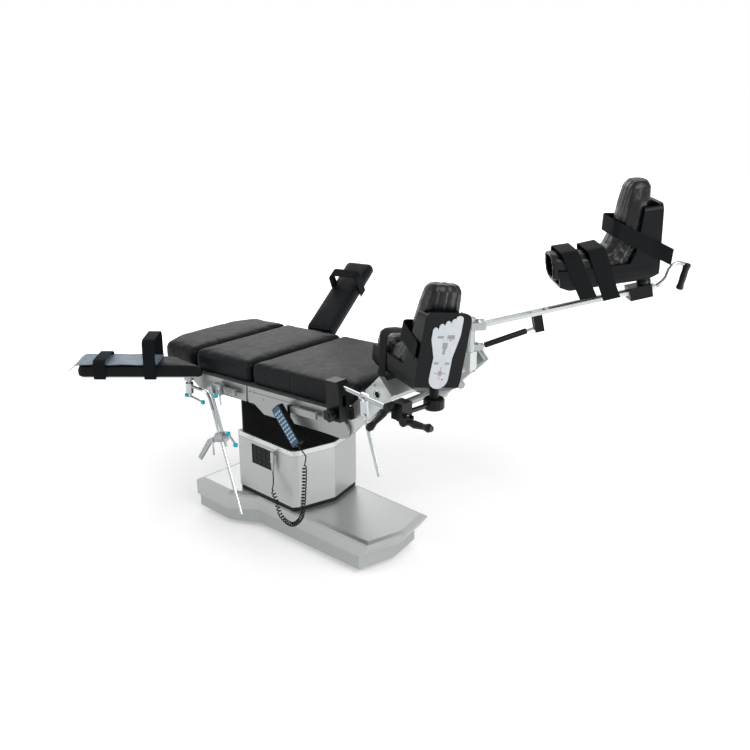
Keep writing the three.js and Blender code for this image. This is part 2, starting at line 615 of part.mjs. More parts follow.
function tiltYoke() {
  const foot = core.topZ + core.capThick + gap;
  const plate = span(-yoke.footHalfX, yoke.footHalfX, -yoke.footHalfY, yoke.footHalfY, foot,
    foot + yoke.footThick);
  const cheeks = [-1, 1].map((side) => {
    const near = side * yoke.cheekFrom;
    const far = side * (yoke.cheekFrom + yoke.cheekThick);
    const [x0, x1] = [Math.min(near, far), Math.max(near, far)];
    return join(span(x0, x1, -yoke.cheekHalf, yoke.cheekHalf, foot, pivot.z),
      crosswise(discPoints(0, pivot.z, yoke.cheekHalf, smooth), x0, x1));
  });
  const reach = yoke.footHalfX + through;
  const hole = rod([-reach, 0, pivot.z], [reach, 0, pivot.z], pivot.pinHole, smooth);
  return cut(join(plate, cheeks), hole);
}

function tiltCross() {
  const block = span(-cross.half, cross.half, -cross.half, cross.half, -cross.halfHigh, cross.halfHigh);
  return join(block,
    rod([-cross.pinReach, 0, 0], [cross.pinReach, 0, 0], pivot.pin, smooth),
    rod([0, -cross.pinReach, 0], [0, cross.pinReach, 0], pivot.pin, smooth));
}

function tiltCradle() {
  const plate = span(cradle.plateFrom, cradle.plateTo, -cradle.plateHalf, cradle.plateHalf,
    cradle.plateLow, cradle.plateHigh);
  const cheeks = [-1, 1].map((side) => {
    const near = side * cradle.cheekFrom;
    const far = side * (cradle.cheekFrom + cradle.cheekThick);
    const [v0, v1] = [Math.min(near, far), Math.max(near, far)];
    return join(upright(discPoints(0, 0, cradle.round, smooth), v0, v1),
      span(-cradle.round, cradle.round, v0, v1, 0, cradle.plateLow));
  });
  const sliders = [-1, 1].flatMap((side) => [
    span(cradle.plateFrom, cradle.plateTo, Math.min(side * cradle.railFrom, side * cradle.railTo),
      Math.max(side * cradle.railFrom, side * cradle.railTo), cradle.plateHigh, cradle.padHigh),
    span(cradle.plateFrom, cradle.plateTo,
      Math.min(side * (cradle.railTo + gap), side * cradle.guideTo),
      Math.max(side * (cradle.railTo + gap), side * cradle.guideTo), cradle.plateHigh, cradle.guideHigh),
  ]);
  const reach = cross.pinReach + through;
  const hole = rod([0, -reach, 0], [0, reach, 0], pivot.pinHole, smooth);
  return cut(join(plate, cheeks, sliders), hole);
}

// Hinges under the cushions, each a middle knuckle that turns on the pin of two outer ones
function hingeKnuckle(u, toU, v0, v1) {
  return join(rod([u, v0, hinge.w], [u, v1, hinge.w], hinge.radius, plain),
    span(Math.min(u, toU), Math.max(u, toU), v0, v1, hinge.low, sideFrame.top));
}

function middleRange(side, ease) {
  const reach = half(hinge.knuckle) + ease;
  return [side * hinge.v - reach, side * hinge.v + reach];
}

function outerKnuckles(u, toU) {
  return bothSides((side) => {
    const [v0, v1] = middleRange(side, gap);
    return join(hingeKnuckle(u, toU, v0 - hinge.outerLong, v0),
      hingeKnuckle(u, toU, v1, v1 + hinge.outerLong),
      rod([u, v0 - hinge.outerLong, hinge.w], [u, v1 + hinge.outerLong, hinge.w], hinge.pin, plain));
  });
}

function middleKnuckles(u, toU) {
  return bothSides((side) => {
    const [v0, v1] = middleRange(side, 0);
    return cut(hingeKnuckle(u, toU, v0, v1), rod([u, v0 - through, hinge.w], [u, v1 + through, hinge.w],
      hinge.bore, plain));
  });
}

function knuckleWells(u, ease) {
  return bothSides((side) => {
    const [v0, v1] = middleRange(side, ease);
    return rod([u, v0, hinge.w], [u, v1, hinge.w], hinge.radius + hinge.clear, plain);
  });
}

// Seat
function earPoints() {
  return Array.from({ length: ear.steps + 1 }, (_, i) => {
    const angle = radians(ear.fromAngle + ear.turnAngle * i / ear.steps);
    return [sideFrame.earU + sideFrame.earRadius * Math.cos(angle),
      sideFrame.earW + sideFrame.earRadius * Math.sin(angle)];
  });
}

function seatSidePoints() {
  const startU = sideFrame.jointU + sideFrame.jointGap;
  return [[startU, sideFrame.backLow], [sideFrame.stepU, sideFrame.backLow],
    [sideFrame.slantU, sideFrame.seatLow], [sideFrame.earStart, sideFrame.seatLow], ...earPoints(),
    [sideFrame.earTopU, sideFrame.top], [startU, sideFrame.top]];
}

function bothSides(make) {
  return [-1, 1].map((side) => make(side));
}

function sideRange(side, nearer, further) {
  return side < 0 ? [-further, -nearer] : [nearer, further];
}

function screwHead(u, w, side) {
  const face = side * sideFrame.outer;
  return rod([u, face - side * screw.proud, w], [u, face + side * screw.proud, w], screw.radius, medium);
}

function sideRail(fromU, toU, side) {
  const outer = sideFrame.outer + rail.standoff + rail.thick;
  const [v0, v1] = sideRange(side, outer - rail.thick, outer);
  const railBar = span(fromU, toU, v0, v1, rail.topW - rail.high, rail.topW);
  const middle = rail.topW - half(rail.high);
  const posts = [fromU + rail.postInset, toU - rail.postInset].flatMap((u) => [
    rod([u, side * (sideFrame.outer - gap), middle], [u, side * (outer - half(rail.thick)), middle],
      rail.post, plain),
    rod([u, side * (outer - half(rail.thick)), middle], [u, side * (outer + rail.screwProud), middle],
      rail.screw, coarse),
  ]);
  return join(railBar, posts);
}

function seatFrame() {
  const inside = sideFrame.outer - sideFrame.thick;
  const plates = bothSides((side) => {
    const [v0, v1] = sideRange(side, inside, sideFrame.outer);
    const plate = upright(seatSidePoints(), v0, v1);
    const [g0, g1] = sideRange(side, sideFrame.outer - groove.deep, sideFrame.outer + through);
    const slot = span(groove.fromU, groove.toU, g0, g1, groove.w - half(groove.high),
      groove.w + half(groove.high));
    const heads = [[sideFrame.stepU, sideFrame.top - sideFrame.screwDrop],
      [sideFrame.earTopU - sideFrame.footScrewBack, sideFrame.top - sideFrame.footScrewDrop],
      [sideFrame.slantU, sideFrame.top - sideFrame.slantScrewDrop]];
    return join(cut(plate, slot), heads.map(([u, w]) => screwHead(u, w, side)),
      sideRail(rail.seatFrom, rail.seatTo, side));
  });
  const floor = span(deck.fromU, deck.toU, -inside - gap, inside + gap, sideFrame.top - deck.thick,
    sideFrame.top);
  const runners = bothSides((side) => {
    const [v0, v1] = sideRange(side, cradle.railFrom, cradle.railTo);
    return span(deck.railFromU, deck.railToU, v0, v1, deck.railLow, sideFrame.top - half(deck.thick));
  });
  const legAxle = rod([sideFrame.earU, -inside - gap, sideFrame.earW], [sideFrame.earU, inside + gap,
    sideFrame.earW], axle.radius, smooth);
  return join(plates, floor, runners, legAxle, outerKnuckles(sideFrame.jointU,
    sideFrame.jointU + hinge.reachSeat));
}

// Back and head sections
function backSidePoints() {
  return [[sideFrame.headU, sideFrame.headLow], [sideFrame.headU + sideFrame.headChamfer,
    sideFrame.backLow], [sideFrame.jointU - sideFrame.jointGap - sideFrame.backChamfer, sideFrame.backLow],
  [sideFrame.jointU - sideFrame.jointGap, sideFrame.top], [sideFrame.headU, sideFrame.top]];
}

function backFrame() {
  const inside = sideFrame.outer - sideFrame.thick;
  const plates = bothSides((side) => {
    const [v0, v1] = sideRange(side, inside, sideFrame.outer);
    return join(upright(backSidePoints(), v0, v1), sideRail(rail.backFrom, rail.backTo, side));
  });
  const floor = span(sideFrame.headU, sideFrame.jointU - sideFrame.jointGap, -inside - gap, inside + gap,
    sideFrame.top - backDeck.thick, sideFrame.top);
  const wells = [
    ...knuckleWells(sideFrame.jointU, gap + hinge.outerLong + hinge.clear),
    ...knuckleWells(cushionEdge.headSplitU, hinge.clear),
  ];
  return join(plates, cut(floor, ...wells),
    middleKnuckles(sideFrame.jointU, sideFrame.jointU - hinge.reachBack),
    outerKnuckles(cushionEdge.headSplitU, cushionEdge.headSplitU + hinge.reachSeat));
}

function headOutline() {
  const fromU = cushionEdge.headSplitU - cushionEdge.clear;
  const side = [[cushionEdge.headTipU, -cushionEdge.headSlopeHalf],
    [cushionEdge.headU, -cushionEdge.halfWidth],
    [fromU, -cushionEdge.halfWidth]];
  return [...side, ...mirrored(side)];
}

function headFrame() {
  const plate = raised(inset(headOutline(), cushionEdge.cornerRound), sideFrame.top - backDeck.thick,
    sideFrame.top);
  const ribOuter = sideFrame.outer - headRib.inset;
  const ribs = bothSides((side) => {
    const [v0, v1] = sideRange(side, ribOuter - headRib.thick, ribOuter);
    return span(cushionEdge.headU, cushionEdge.headSplitU - cushionEdge.cornerRound, v0, v1,
      sideFrame.headLow, sideFrame.top - half(backDeck.thick));
  });
  return join(plate, ribs, middleKnuckles(cushionEdge.headSplitU, cushionEdge.headSplitU - hinge.reachHead));
}

// Cushions
function cushion(points, low) {
  const soft = rounded(points, cushionEdge.cornerRound, cushionEdge.roundSteps);
  const outline = divided(soft, cushionEdge.longest);
  const centre = outline.reduce((sum, p) => sum.add(new THREE.Vector2(...p)), new THREE.Vector2())
    .divideScalar(outline.length);
  const rings = cushionRings.map((ring) => level(inset(outline, ring.inset),
    low + cushionHigh * ring.upShare));
  const rim = inset(outline, cushionRings.at(-1).inset);
  crownRings.forEach((ring) => {
    const shrunk = rim.map(([x, y]) => [centre.x + (x - centre.x) * ring.outShare,
      centre.y + (y - centre.y) * ring.outShare]);
    rings.push(level(shrunk, low + cushionHigh + cushionEdge.crown * ring.upShare));
  });
  return loft(rings);
}

function seatCushion() {
  const side = [[sideFrame.jointU + sideFrame.jointGap, -cushionEdge.halfWidth],
    [cushionEdge.footU, -cushionEdge.halfWidth],
    [cushionEdge.footU + cushionEdge.cornerRound, -cushionEdge.tongueHalf],
    [cushionEdge.tongueU, -cushionEdge.tongueHalf]];
  return cushion([...side, ...mirrored(side)], sideFrame.top + gap);
}

function backCushion() {
  const side = [[cushionEdge.headSplitU, -cushionEdge.halfWidth],
    [sideFrame.jointU - sideFrame.jointGap, -cushionEdge.halfWidth]];
  return cushion([...side, ...mirrored(side)], sideFrame.top + gap);
}

function headCushion() {
  return cushion(headOutline(), sideFrame.top + gap);
}

// Frames that other pieces are set in
const tableFrame = frameAt(0, 0, pivot.z, 0, pivot.restTilt, 0);
const riserFrame = frameAt(sideFrame.earU, 0, sideFrame.earW, 0, riser.angle, 0);
tableFrame.add(riserFrame);
tableFrame.updateMatrixWorld(true);

// A place on the floor frame, from the middle of the riser's cross beam
function crossSpot(ahead, across, rise) {
  const middle = riserFrame.localToWorld(new THREE.Vector3(riser.length - riser.crossBack, 0, 0));
  return [middle.x + ahead, middle.y + across, middle.z + rise];
}

// The cross beam's middle in the table frame
function crossMiddle() {
  const middle = new THREE.Vector3(riser.length - riser.crossBack, 0, 0).applyMatrix4(riserFrame.matrix);
  return { u: middle.x, w: middle.z };
}

function intoFloor(body, frame) {
  frame.updateWorldMatrix(true, false);
  return body.transform(frame.matrixWorld.elements);
}

// Leg riser: two arms, a cross beam and the towers that carry the beams
function riserArm(side) {
  const [v0, v1] = sideRange(side, riser.outer - riser.thick, riser.outer);
  const arm = span(0, riser.length, v0, v1, -half(riser.wide), half(riser.wide));
  const foot = upright(discPoints(0, 0, riser.footRadius, smooth), v0, v1);
  const [p0, p1] = sideRange(side, riser.outer - riser.plateThick, riser.outer + riser.plateProud);
  const plate = span(riser.length - riser.plateLong, riser.length + riser.plateProud, p0, p1,
    -half(riser.wide) - riser.plateProud, half(riser.wide) + riser.plateProud);
  const socketX = riser.length - riser.socketFromEnd;
  const face = side * (riser.outer + riser.plateProud);
  const well = rod([socketX, face - side * riser.socketDeep, 0], [socketX, face + side * through, 0],
    riser.socket, smooth);
  const boltX = socketX + riser.boltAhead;
  const boltHole = rod([boltX, face - side * riser.socketDeep, riser.boltRise],
    [boltX, face + side * through, riser.boltRise], riser.boltRadius, coarse);
  return cut(join(arm, foot, plate), well, boltHole);
}

function beamTower() {
  const low = -strut.rootDrop - strut.eye - half(strut.eye);
  const [x, y, z] = crossSpot(tower.ahead, tower.across, tower.rise);
  const top = z + low - gap;
  const post = span(x - tower.half, x + tower.half, y - tower.half, y + tower.half,
    z - tower.rise - tower.drop, top);
  const spindle = rod([x, y, top - through], [x, y, z + swivel.top], swivel.spindle, smooth);
  return join(post, spindle);
}

function riserFrameBody() {
  const axleHole = rod([0, -sideFrame.outer, 0], [0, sideFrame.outer, 0], axle.hole, smooth);
  const arms = cut(join(bothSides(riserArm)), axleHole);
  const crossX = riser.length - riser.crossBack;
  const crossBeam = span(crossX - riser.crossThick, crossX, -riser.outer + half(riser.thick),
    riser.outer - half(riser.thick), -half(riser.crossHigh), half(riser.crossHigh));
  const frame = intoFloor(join(arms, crossBeam), riserFrame);
  const [x, y, z] = crossSpot(stub.ahead, stub.across, stub.rise);
  const hubLow = z - stub.radius;
  const stubSeat = rod([x, y, z - stub.rise - stub.seatDrop], [x, y, hubLow - gap], stub.hub, smooth);
  const stubSpindle = rod([x, y, hubLow - through], [x, y, hubLow + stub.hubHigh], stub.pin, smooth);
  return join(frame, beamTower(), stubSeat, stubSpindle);
}

function stubBeam() {
  const yaw = radians(stub.yaw);
  const [x, y, z] = crossSpot(stub.ahead, stub.across, stub.rise);
  const low = z - stub.radius;
  const at = (distance) => [x + distance * Math.cos(yaw), y + distance * Math.sin(yaw), z];
  const hub = rod([x, y, low], [x, y, low + stub.hubHigh], stub.hub, smooth);
  const hole = rod([x, y, low - through], [x, y, low + stub.hubHigh + through], stub.pin + gap, smooth);
  const arm = rod(at(0), at(stub.length), stub.radius, smooth);
  const cap = pin(at(stub.length - stub.capLong), at(stub.length), stub.cap, stub.capEase, smooth);
  return cut(join(hub, arm, cap), hole);
}

// Side traction bar
function barW() {
  return crossMiddle().w + bar.overCross;
}

function carriageAlong() {
  return (crossMiddle().u + carriage.aheadOfCross - bar.startU) / Math.cos(radians(bar.yaw));
}

function barPoint(along, across, up) {
  const yaw = radians(bar.yaw);
  return [bar.startU + along * Math.cos(yaw) + across * Math.sin(yaw),
    bar.startV - along * Math.sin(yaw) + across * Math.cos(yaw), barW() + up];
}

function tractionBar() {
  return pin(barPoint(-bar.back, 0, 0), barPoint(carriageAlong() + bar.beyond, 0, 0), bar.radius, bar.endDraw,
    smooth);
}

function barClampBody() {
  const top = barW() + barClamp.overBar;
  const side = [[barClamp.fromU, barClamp.fromW + barClamp.bevel], [barClamp.fromU + barClamp.bevel,
    barClamp.fromW], [barClamp.toU, barClamp.fromW], [barClamp.toU, top - barClamp.bevel],
  [barClamp.toU - barClamp.bevel, top], [barClamp.fromU, top]];
  const block = upright(side, barClamp.fromV, barClamp.toV);
  const foot = span(barClamp.footFromU, barClamp.footToU, barClamp.toV - gap, -riser.outer - gap,
    riserPointW(barClamp.footFromU), barClamp.fromW + half(riser.wide));
  const boreReach = bar.back + barClamp.toU - barClamp.fromU;
  const bore = rod(barPoint(-boreReach, 0, 0), barPoint(boreReach, 0, 0), barClamp.slot, smooth);
  const middleV = half(barClamp.fromV + barClamp.toV);
  const slot = span(barClamp.fromU - through, barClamp.toU + through, middleV - half(barClamp.notch),
    middleV + half(barClamp.notch), knob.w + knob.radius, barW() - barClamp.slotUnder);
  const knobHole = rod([knob.u, barClamp.fromV - through, knob.w], [knob.u, barClamp.fromV + knob.stemLong,
    knob.w], knob.stem + gap, plain);
  return cut(join(block, foot), bore, slot, knobHole);
}

function riserPointW(u) {
  return sideFrame.earW + (u - sideFrame.earU) * Math.tan(radians(riser.angle)) + half(half(riser.wide));
}

function starKnob() {
  const points = [];
  const steps = knob.lobes * knob.lobeSteps;
  for (let i = 0; i < steps; i += 1) {
    const angle = 2 * Math.PI * i / steps;
    const radius = knob.radius - half(knob.lobeDeep) * (1 - Math.cos(knob.lobes * angle));
    points.push([knob.u + radius * Math.cos(angle), knob.w + radius * Math.sin(angle)]);
  }
  const face = barClamp.fromV - gap * 2 - half(knob.stemLong);
  const star = upright(points, face - knob.thick, face);
  const stem = rod([knob.u, face, knob.w], [knob.u, barClamp.fromV + knob.stemLong - gap, knob.w],
    knob.stem, plain);
  const cap = rod([knob.u, face - knob.thick - knob.capProud, knob.w], [knob.u, face - half(knob.thick),
    knob.w], knob.capRadius, plain);
  return join(star, stem, cap);
}

function barSlider() {
  const ring = rod(barPoint(slider.along - half(slider.long), 0, 0),
    barPoint(slider.along + half(slider.long), 0, 0), slider.radius, smooth);
  const [u, v] = barPoint(slider.along, 0, 0);
  const plate = span(u - half(slider.plateWide), u + half(slider.plateWide), v - half(slider.plateThick),
    v + half(slider.plateThick), barW() - slider.plateLong, barW());
  const low = barW() - slider.plateLong;
  const boss = rod([u, v - slider.plateThick, low], [u, v + slider.plateThick, low], slider.rodJoint, smooth);
  const bore = rod(barPoint(slider.along - slider.plateWide, 0, 0),
    barPoint(slider.along + slider.plateWide, 0, 0), bar.radius + gap, smooth);
  return cut(join(ring, plate, boss), bore);
}

function dropRodBody() {
  const [u, v] = barPoint(slider.along, 0, 0);
  const lean = radians(dropRod.lean);
  const top = barW() - slider.plateLong - slider.rodJoint;
  const at = (distance) => [u + distance * Math.sin(lean), v, top - distance * Math.cos(lean)];
  return join(pin(at(0), at(dropRod.long), dropRod.radius, dropRod.radius - dropRod.tip, plain),
    pin([u, v, top + dropRod.head], at(dropRod.head), dropRod.head, half(dropRod.head), plain));
}

// Near carriage on the side bar
function carriageSpot(ahead = 0, aside = 0, rise = 0) {
  const spot = tableFrame.localToWorld(new THREE.Vector3(...barPoint(carriageAlong(), 0, 0)));
  return [spot.x + ahead, spot.y + aside, spot.z + rise];
}

function nearCarriageBody() {
  const [x, y, z] = carriageSpot();
  const face = y - half(carriage.blockWide);
  const block = span(x - half(carriage.blockLong), x + half(carriage.blockLong), face,
    y + half(carriage.blockWide), z + carriage.blockLow, z + carriage.blockHigh);
  const [postX, postY, postZ] = carriageSpot(carriage.postAhead, carriage.postAside, -carriage.postDrop);
  const postTop = postZ + carriage.postHigh;
  const post = join(
    pin([postX, postY, postZ], [postX, postY, postTop], carriage.postRadius, carriage.rib, smooth),
    rod([postX, postY, postTop - carriage.rib], [postX, postY, postTop + carriage.studLong], carriage.stud,
      smooth),
  );
  const shaftZ = postZ + half(carriage.postHigh);
  const shaft = rod([x, y, shaftZ], [postX, postY, shaftZ], carriage.shaft, plain);
  const [leverX, , leverZ] = carriageSpot(rightHandle.ahead, 0, rightHandle.rise);
  const lug = span(x, x + carriage.lugAhead, face, face + half(carriage.blockWide),
    leverZ - carriage.lugHalfHigh, leverZ + carriage.lugHalfHigh);
  const leverStud = rod([leverX, face + through, leverZ], [leverX, face - rightHandle.thick - gap, leverZ],
    rightHandle.stud, smooth);
  const [crankX, , crankZ] = carriageSpot(leftHandle.ahead, 0, leftHandle.rise);
  const crankHole = rod([crankX, face - through, crankZ], [crankX, face + carriage.crankReach, crankZ],
    carriage.crankBore + gap, plain);
  const bore = intoFloor(rod(barPoint(-bar.back, 0, 0), barPoint(carriageAlong() + bar.beyond
    + carriage.blockLong, 0, 0), bar.radius + gap, smooth), tableFrame);
  return cut(join(block, post, shaft, lug, leverStud), bore, crankHole);
}

function grip(from, to) {
  const long = handle.long;
  const profile = [[0, 0], [handle.neck, 0], [handle.neck, long * handle.neckShare],
    [handle.belly, long * handle.bellyShare], [handle.waist, long * handle.waistShare],
    [handle.bulb, long * handle.bulbShare], [handle.waist, long], [0, long]];
  return turned(profile, from, to, plain);
}

function nearCrank() {
  const [x, middle, z] = carriageSpot(leftHandle.ahead, 0, leftHandle.rise);
  const face = middle - half(carriage.blockWide);
  const away = face - gap - leftHandle.hubLong;
  const hub = pin([x, face - gap, z], [x, away, z], leftHandle.hub, handle.draw, smooth);
  const spindle = rod([x, face - handle.draw, z], [x, face + carriage.crankReach - gap, z],
    carriage.crankBore, plain);
  return join(hub, spindle, grip([x, away + half(leftHandle.hubLong), z],
    carriageSpot(leftHandle.toAhead, leftHandle.toAside, leftHandle.toRise)));
}

function nearLever() {
  const [x, spotY, z] = carriageSpot(rightHandle.ahead, 0, rightHandle.rise);
  const face = spotY - half(carriage.blockWide) - gap;
  const ring = rod([x, face, z], [x, face - rightHandle.thick, z], rightHandle.ringRadius, smooth);
  const eye = rod([x, face + through, z], [x, face - rightHandle.thick - through, z], rightHandle.stud + gap,
    smooth);
  const start = [x + half(rightHandle.ringRadius + rightHandle.stud), face - half(rightHandle.thick), z];
  return cut(join(ring, grip(start, carriageSpot(rightHandle.toAhead, rightHandle.toAside,
    rightHandle.toRise))), eye);
}

// Boot shell: calf trough, heel and sole plate with side walls
function bootOuterSide() {
  const back = boot.soleX - boot.soleLean;
  return [
    [-boot.shin, boot.calfLow + boot.kneeDrop], [-boot.shin + boot.heelRound, boot.calfLow],
    [back - boot.heelRound, boot.calfLow], [back, boot.calfLow + half(boot.heelRound)],
    [boot.soleX + boot.wall, boot.toeHigh], [boot.toeSideX, boot.toeHigh],
    [boot.footSideX, boot.footSideHigh], [boot.ankleX, boot.ankleHigh],
    [-boot.shin, boot.calfHigh],
  ];
}

function bootInnerSide() {
  const back = boot.soleX - boot.soleLean - boot.soleThick;
  const low = boot.calfLow + boot.floorThick;
  return [
    [-boot.shin - through, low + boot.kneeDrop], [-boot.shin + boot.heelRound, low],
    [back - boot.heelRound, low], [back, low + half(boot.heelRound)],
    [boot.soleX + boot.wall - boot.soleThick, boot.toeHigh + through],
    [-boot.shin - through, boot.toeHigh + through],
  ];
}

function troughSection(halfWide, low, high, round) {
  const corners = [[-halfWide, low], [halfWide, low], [halfWide, high], [-halfWide, high]];
  return rounded(corners, round, boot.roundSteps);
}

function bootShell() {
  const above = boot.toeHigh + boot.heelRound + through;
  const behind = -boot.shin - boot.heelRound;
  const outer = upright(bootOuterSide(), -boot.halfWide, boot.halfWide);
  const outerRound = crosswise(troughSection(boot.halfWide, boot.calfLow, above, boot.heelRound), behind,
    boot.shin);
  const soleRound = roundSole(boot.halfWide, boot.toeHigh, boot.edgeRound);
  const innerHalf = boot.halfWide - boot.wall;
  const inner = upright(bootInnerSide(), -innerHalf, innerHalf);
  const innerRound = crosswise(troughSection(innerHalf, boot.calfLow + boot.floorThick, above,
    boot.heelRound - boot.wall), behind, boot.shin);
  return cut(outer.intersect(outerRound).intersect(soleRound), inner.intersect(innerRound));
}

function roundSole(halfWide, high, round) {
  const low = boot.calfLow;
  const corners = [[-halfWide, low], [halfWide, low], [halfWide, high], [-halfWide, high]];
  return crosswise(rounded(corners, round, boot.soleRoundSteps), -boot.shin - boot.heelRound, boot.shin);
}

function heelArc() {
  return Array.from({ length: sole.heelSteps + 1 }, (_, i) => {
    const angle = Math.PI + Math.PI * i / sole.heelSteps;
    return [sole.heelHalf * Math.cos(angle), sole.heelHalf + sole.heelHalf * Math.sin(angle)];
  });
}

function toeArc(place) {
  const count = toe.lowShares.length;
  const radius = sole.toeHalf / count;
  const widen = place === 0 ? radius * toe.bigShare : 0;
  const middle = sole.toeHalf - radius * (2 * place + 1) - widen;
  const reach = sole.long * toe.lowShares[place] - radius;
  return Array.from({ length: sole.toeSteps + 1 }, (_, i) => {
    const angle = Math.PI * (toe.fromShare + toe.turnShare * i / sole.toeSteps);
    return [middle + (radius + widen) * Math.cos(angle) * toe.wideShare,
      reach + radius * toe.longShare * Math.sin(angle)];
  });
}

function solePad() {
  const points = [
    ...heelArc(),
    [sole.waistHalf, sole.long * sole.waistShare],
    [sole.ballHalf, sole.long * sole.ballShare],
    ...toe.lowShares.flatMap((share, place) => toeArc(place)),
    [-sole.ballHalf, sole.long * (sole.ballShare - sole.ballDropShare)],
    [-sole.waistHalf * sole.waistInShare, sole.long * sole.waistShare],
  ];
  const pad = crosswise(points, 0, sole.thick);
  const lean = Math.atan2(boot.soleLean + boot.wall, boot.toeHigh - boot.calfLow - half(boot.heelRound));
  const start = boot.soleX - boot.soleLean;
  const rise = sole.liftZ - boot.calfLow - half(boot.heelRound);
  return pad.rotate([0, THREE.MathUtils.radToDeg(lean), 0])
    .translate([start + gap + rise * Math.tan(lean), 0, sole.liftZ]);
}

// Boot liner: a padded sleeve, open toward the knee and closed over the toes
function linerRing(shares, shrink) {
  const lean = radians(shares.lean);
  const [x, z] = [boot.shin * shares.along, boot.toeHigh * shares.up];
  const innerHalf = boot.halfWide - boot.wall - gap;
  return Array.from({ length: liner.sides }, (_, i) => {
    const angle = 2 * Math.PI * i / liner.sides;
    const [c, s] = [Math.cos(angle), Math.sin(angle)];
    const wide = (innerHalf * shares.wide - shrink) * Math.sign(c) * Math.abs(c) ** liner.squareShare;
    const high = (liner.deep * shares.deep - shrink) * Math.sign(s) * Math.abs(s) ** liner.squareShare;
    return new THREE.Vector3(x - high * Math.sin(lean), wide, z + high * Math.cos(lean));
  });
}

function bootLiner() {
  const outer = linerShares.map((shares) => linerRing(shares, 0));
  const inner = linerShares.slice(0, -1).map((shares) => linerRing(shares, liner.wall));
  return loft([...outer.reverse(), ...inner]);
}

// A strap: a band over the top and down both sides, open below, with a loose tail
function strapBand(halfWide, low, high, wide, tail) {
  const inner = strapArch(halfWide, low - through, high, strap.round);
  const outer = strapArch(halfWide + strap.thick, low, high + strap.thick, strap.round + strap.thick);
  const band = cut(crosswise(outer, -half(wide), half(wide)), crosswise(inner, -wide, wide));
  const outerHalf = halfWide + strap.thick;
  const flap = span(-half(wide) + strap.thick, half(wide) - strap.thick, -outerHalf - strap.thick,
    -outerHalf + half(strap.thick), low - tail, half(low + high));
  return join(band, flap);
}

function strapArch(halfWide, low, high, round) {
  const box = [[-halfWide, low], [halfWide, low], [halfWide, high], [-halfWide, high]];
  const corners = rounded(box, round, strap.roundSteps);
  return [[-halfWide, low], [halfWide, low], ...corners.filter(([, z]) => z > low + round)];
}

function bootStrap(place) {
  return strapBand(boot.halfWide + strap.clear, 0, place.high, strap.wide, strap.tail)
    .rotate([0, -place.lean, 0])
    .translate([boot.shin * place.alongShare, 0, boot.toeHigh * place.upShare]);
}

// Boots with the boss that turns on each carriage's post
function bossWithBore(foot, top, radius, bore, deep) {
  const low = [foot[0], foot[1], foot[2] - through];
  return cut(rod(foot, top, radius, smooth), rod(low, [foot[0], foot[1], foot[2] + deep], bore, smooth));
}

function nearShell() {
  const [x, y, z] = carriageSpot(carriage.postAhead, carriage.postAside, -carriage.postDrop);
  const boss = bossWithBore([x, y, z + carriage.postHigh + gap], [x, y, z + carriage.bossHigh],
    carriage.bossRadius, carriage.stud + gap, carriage.studLong + gap);
  return join(intoFloor(bootShell(), nearBootFrame), boss);
}

function farShell() {
  const low = farCarriage.high + farCarriage.postHigh + gap;
  const boss = bossWithBore([farBoot.postX, 0, low], [farBoot.postX, 0, farBoot.bossTop], farBoot.bossRadius,
    farCarriage.stud + gap, farCarriage.studHigh + gap);
  return join(intoFloor(bootShell(), farBootFrame), intoFloor(boss, beamFrame));
}

// Swivel head on the tower, measured at the tower's axis: +X along the beam
function beamSwivel() {
  const low = -strut.rootDrop - strut.eye - half(strut.eye);
  const hub = rod([0, 0, low], [0, 0, swivel.top], swivel.radius, smooth);
  const inner = half(beam.spread) + half(beam.railWide) + gap;
  const lugs = bothSides((side) => {
    const [y0, y1] = sideRange(side, inner, swivel.lugOuter);
    return span(0, swivel.reach + swivel.lugRound, y0, y1, -swivel.lugRound, swivel.lugRound);
  });
  const web = span(0, swivel.radius + gap, -swivel.lugOuter, swivel.lugOuter, -swivel.lugRound,
    swivel.lugRound);
  const liftPin = rod([swivel.reach, -inner - gap, 0], [swivel.reach, inner + gap, 0], swivel.pin, smooth);
  const eyeOut = half(strut.eyeWide) + gap;
  const strutLugs = bothSides((side) => {
    const [y0, y1] = sideRange(side, eyeOut, eyeOut + swivel.strutLug);
    return span(0, swivel.reach + strut.eye, y0, y1, -strut.rootDrop - strut.eye,
      -strut.rootDrop + strut.eye);
  });
  const strutPin = rod([swivel.reach, -eyeOut - gap, -strut.rootDrop],
    [swivel.reach, eyeOut + gap, -strut.rootDrop], strut.pin, plain);
  const hole = rod([0, 0, low - through], [0, 0, swivel.top + through], swivel.spindle + gap, smooth);
  return cut(join(hub, lugs, web, liftPin, strutLugs, strutPin), hole);
}

// Far beam, measured from its lift pin: +X along the beam
function railSides(grow) {
  return bothSides((side) => {
    const middle = side * half(beam.spread);
    return [middle - half(beam.railWide) - grow, middle + half(beam.railWide) + grow];
  });
}

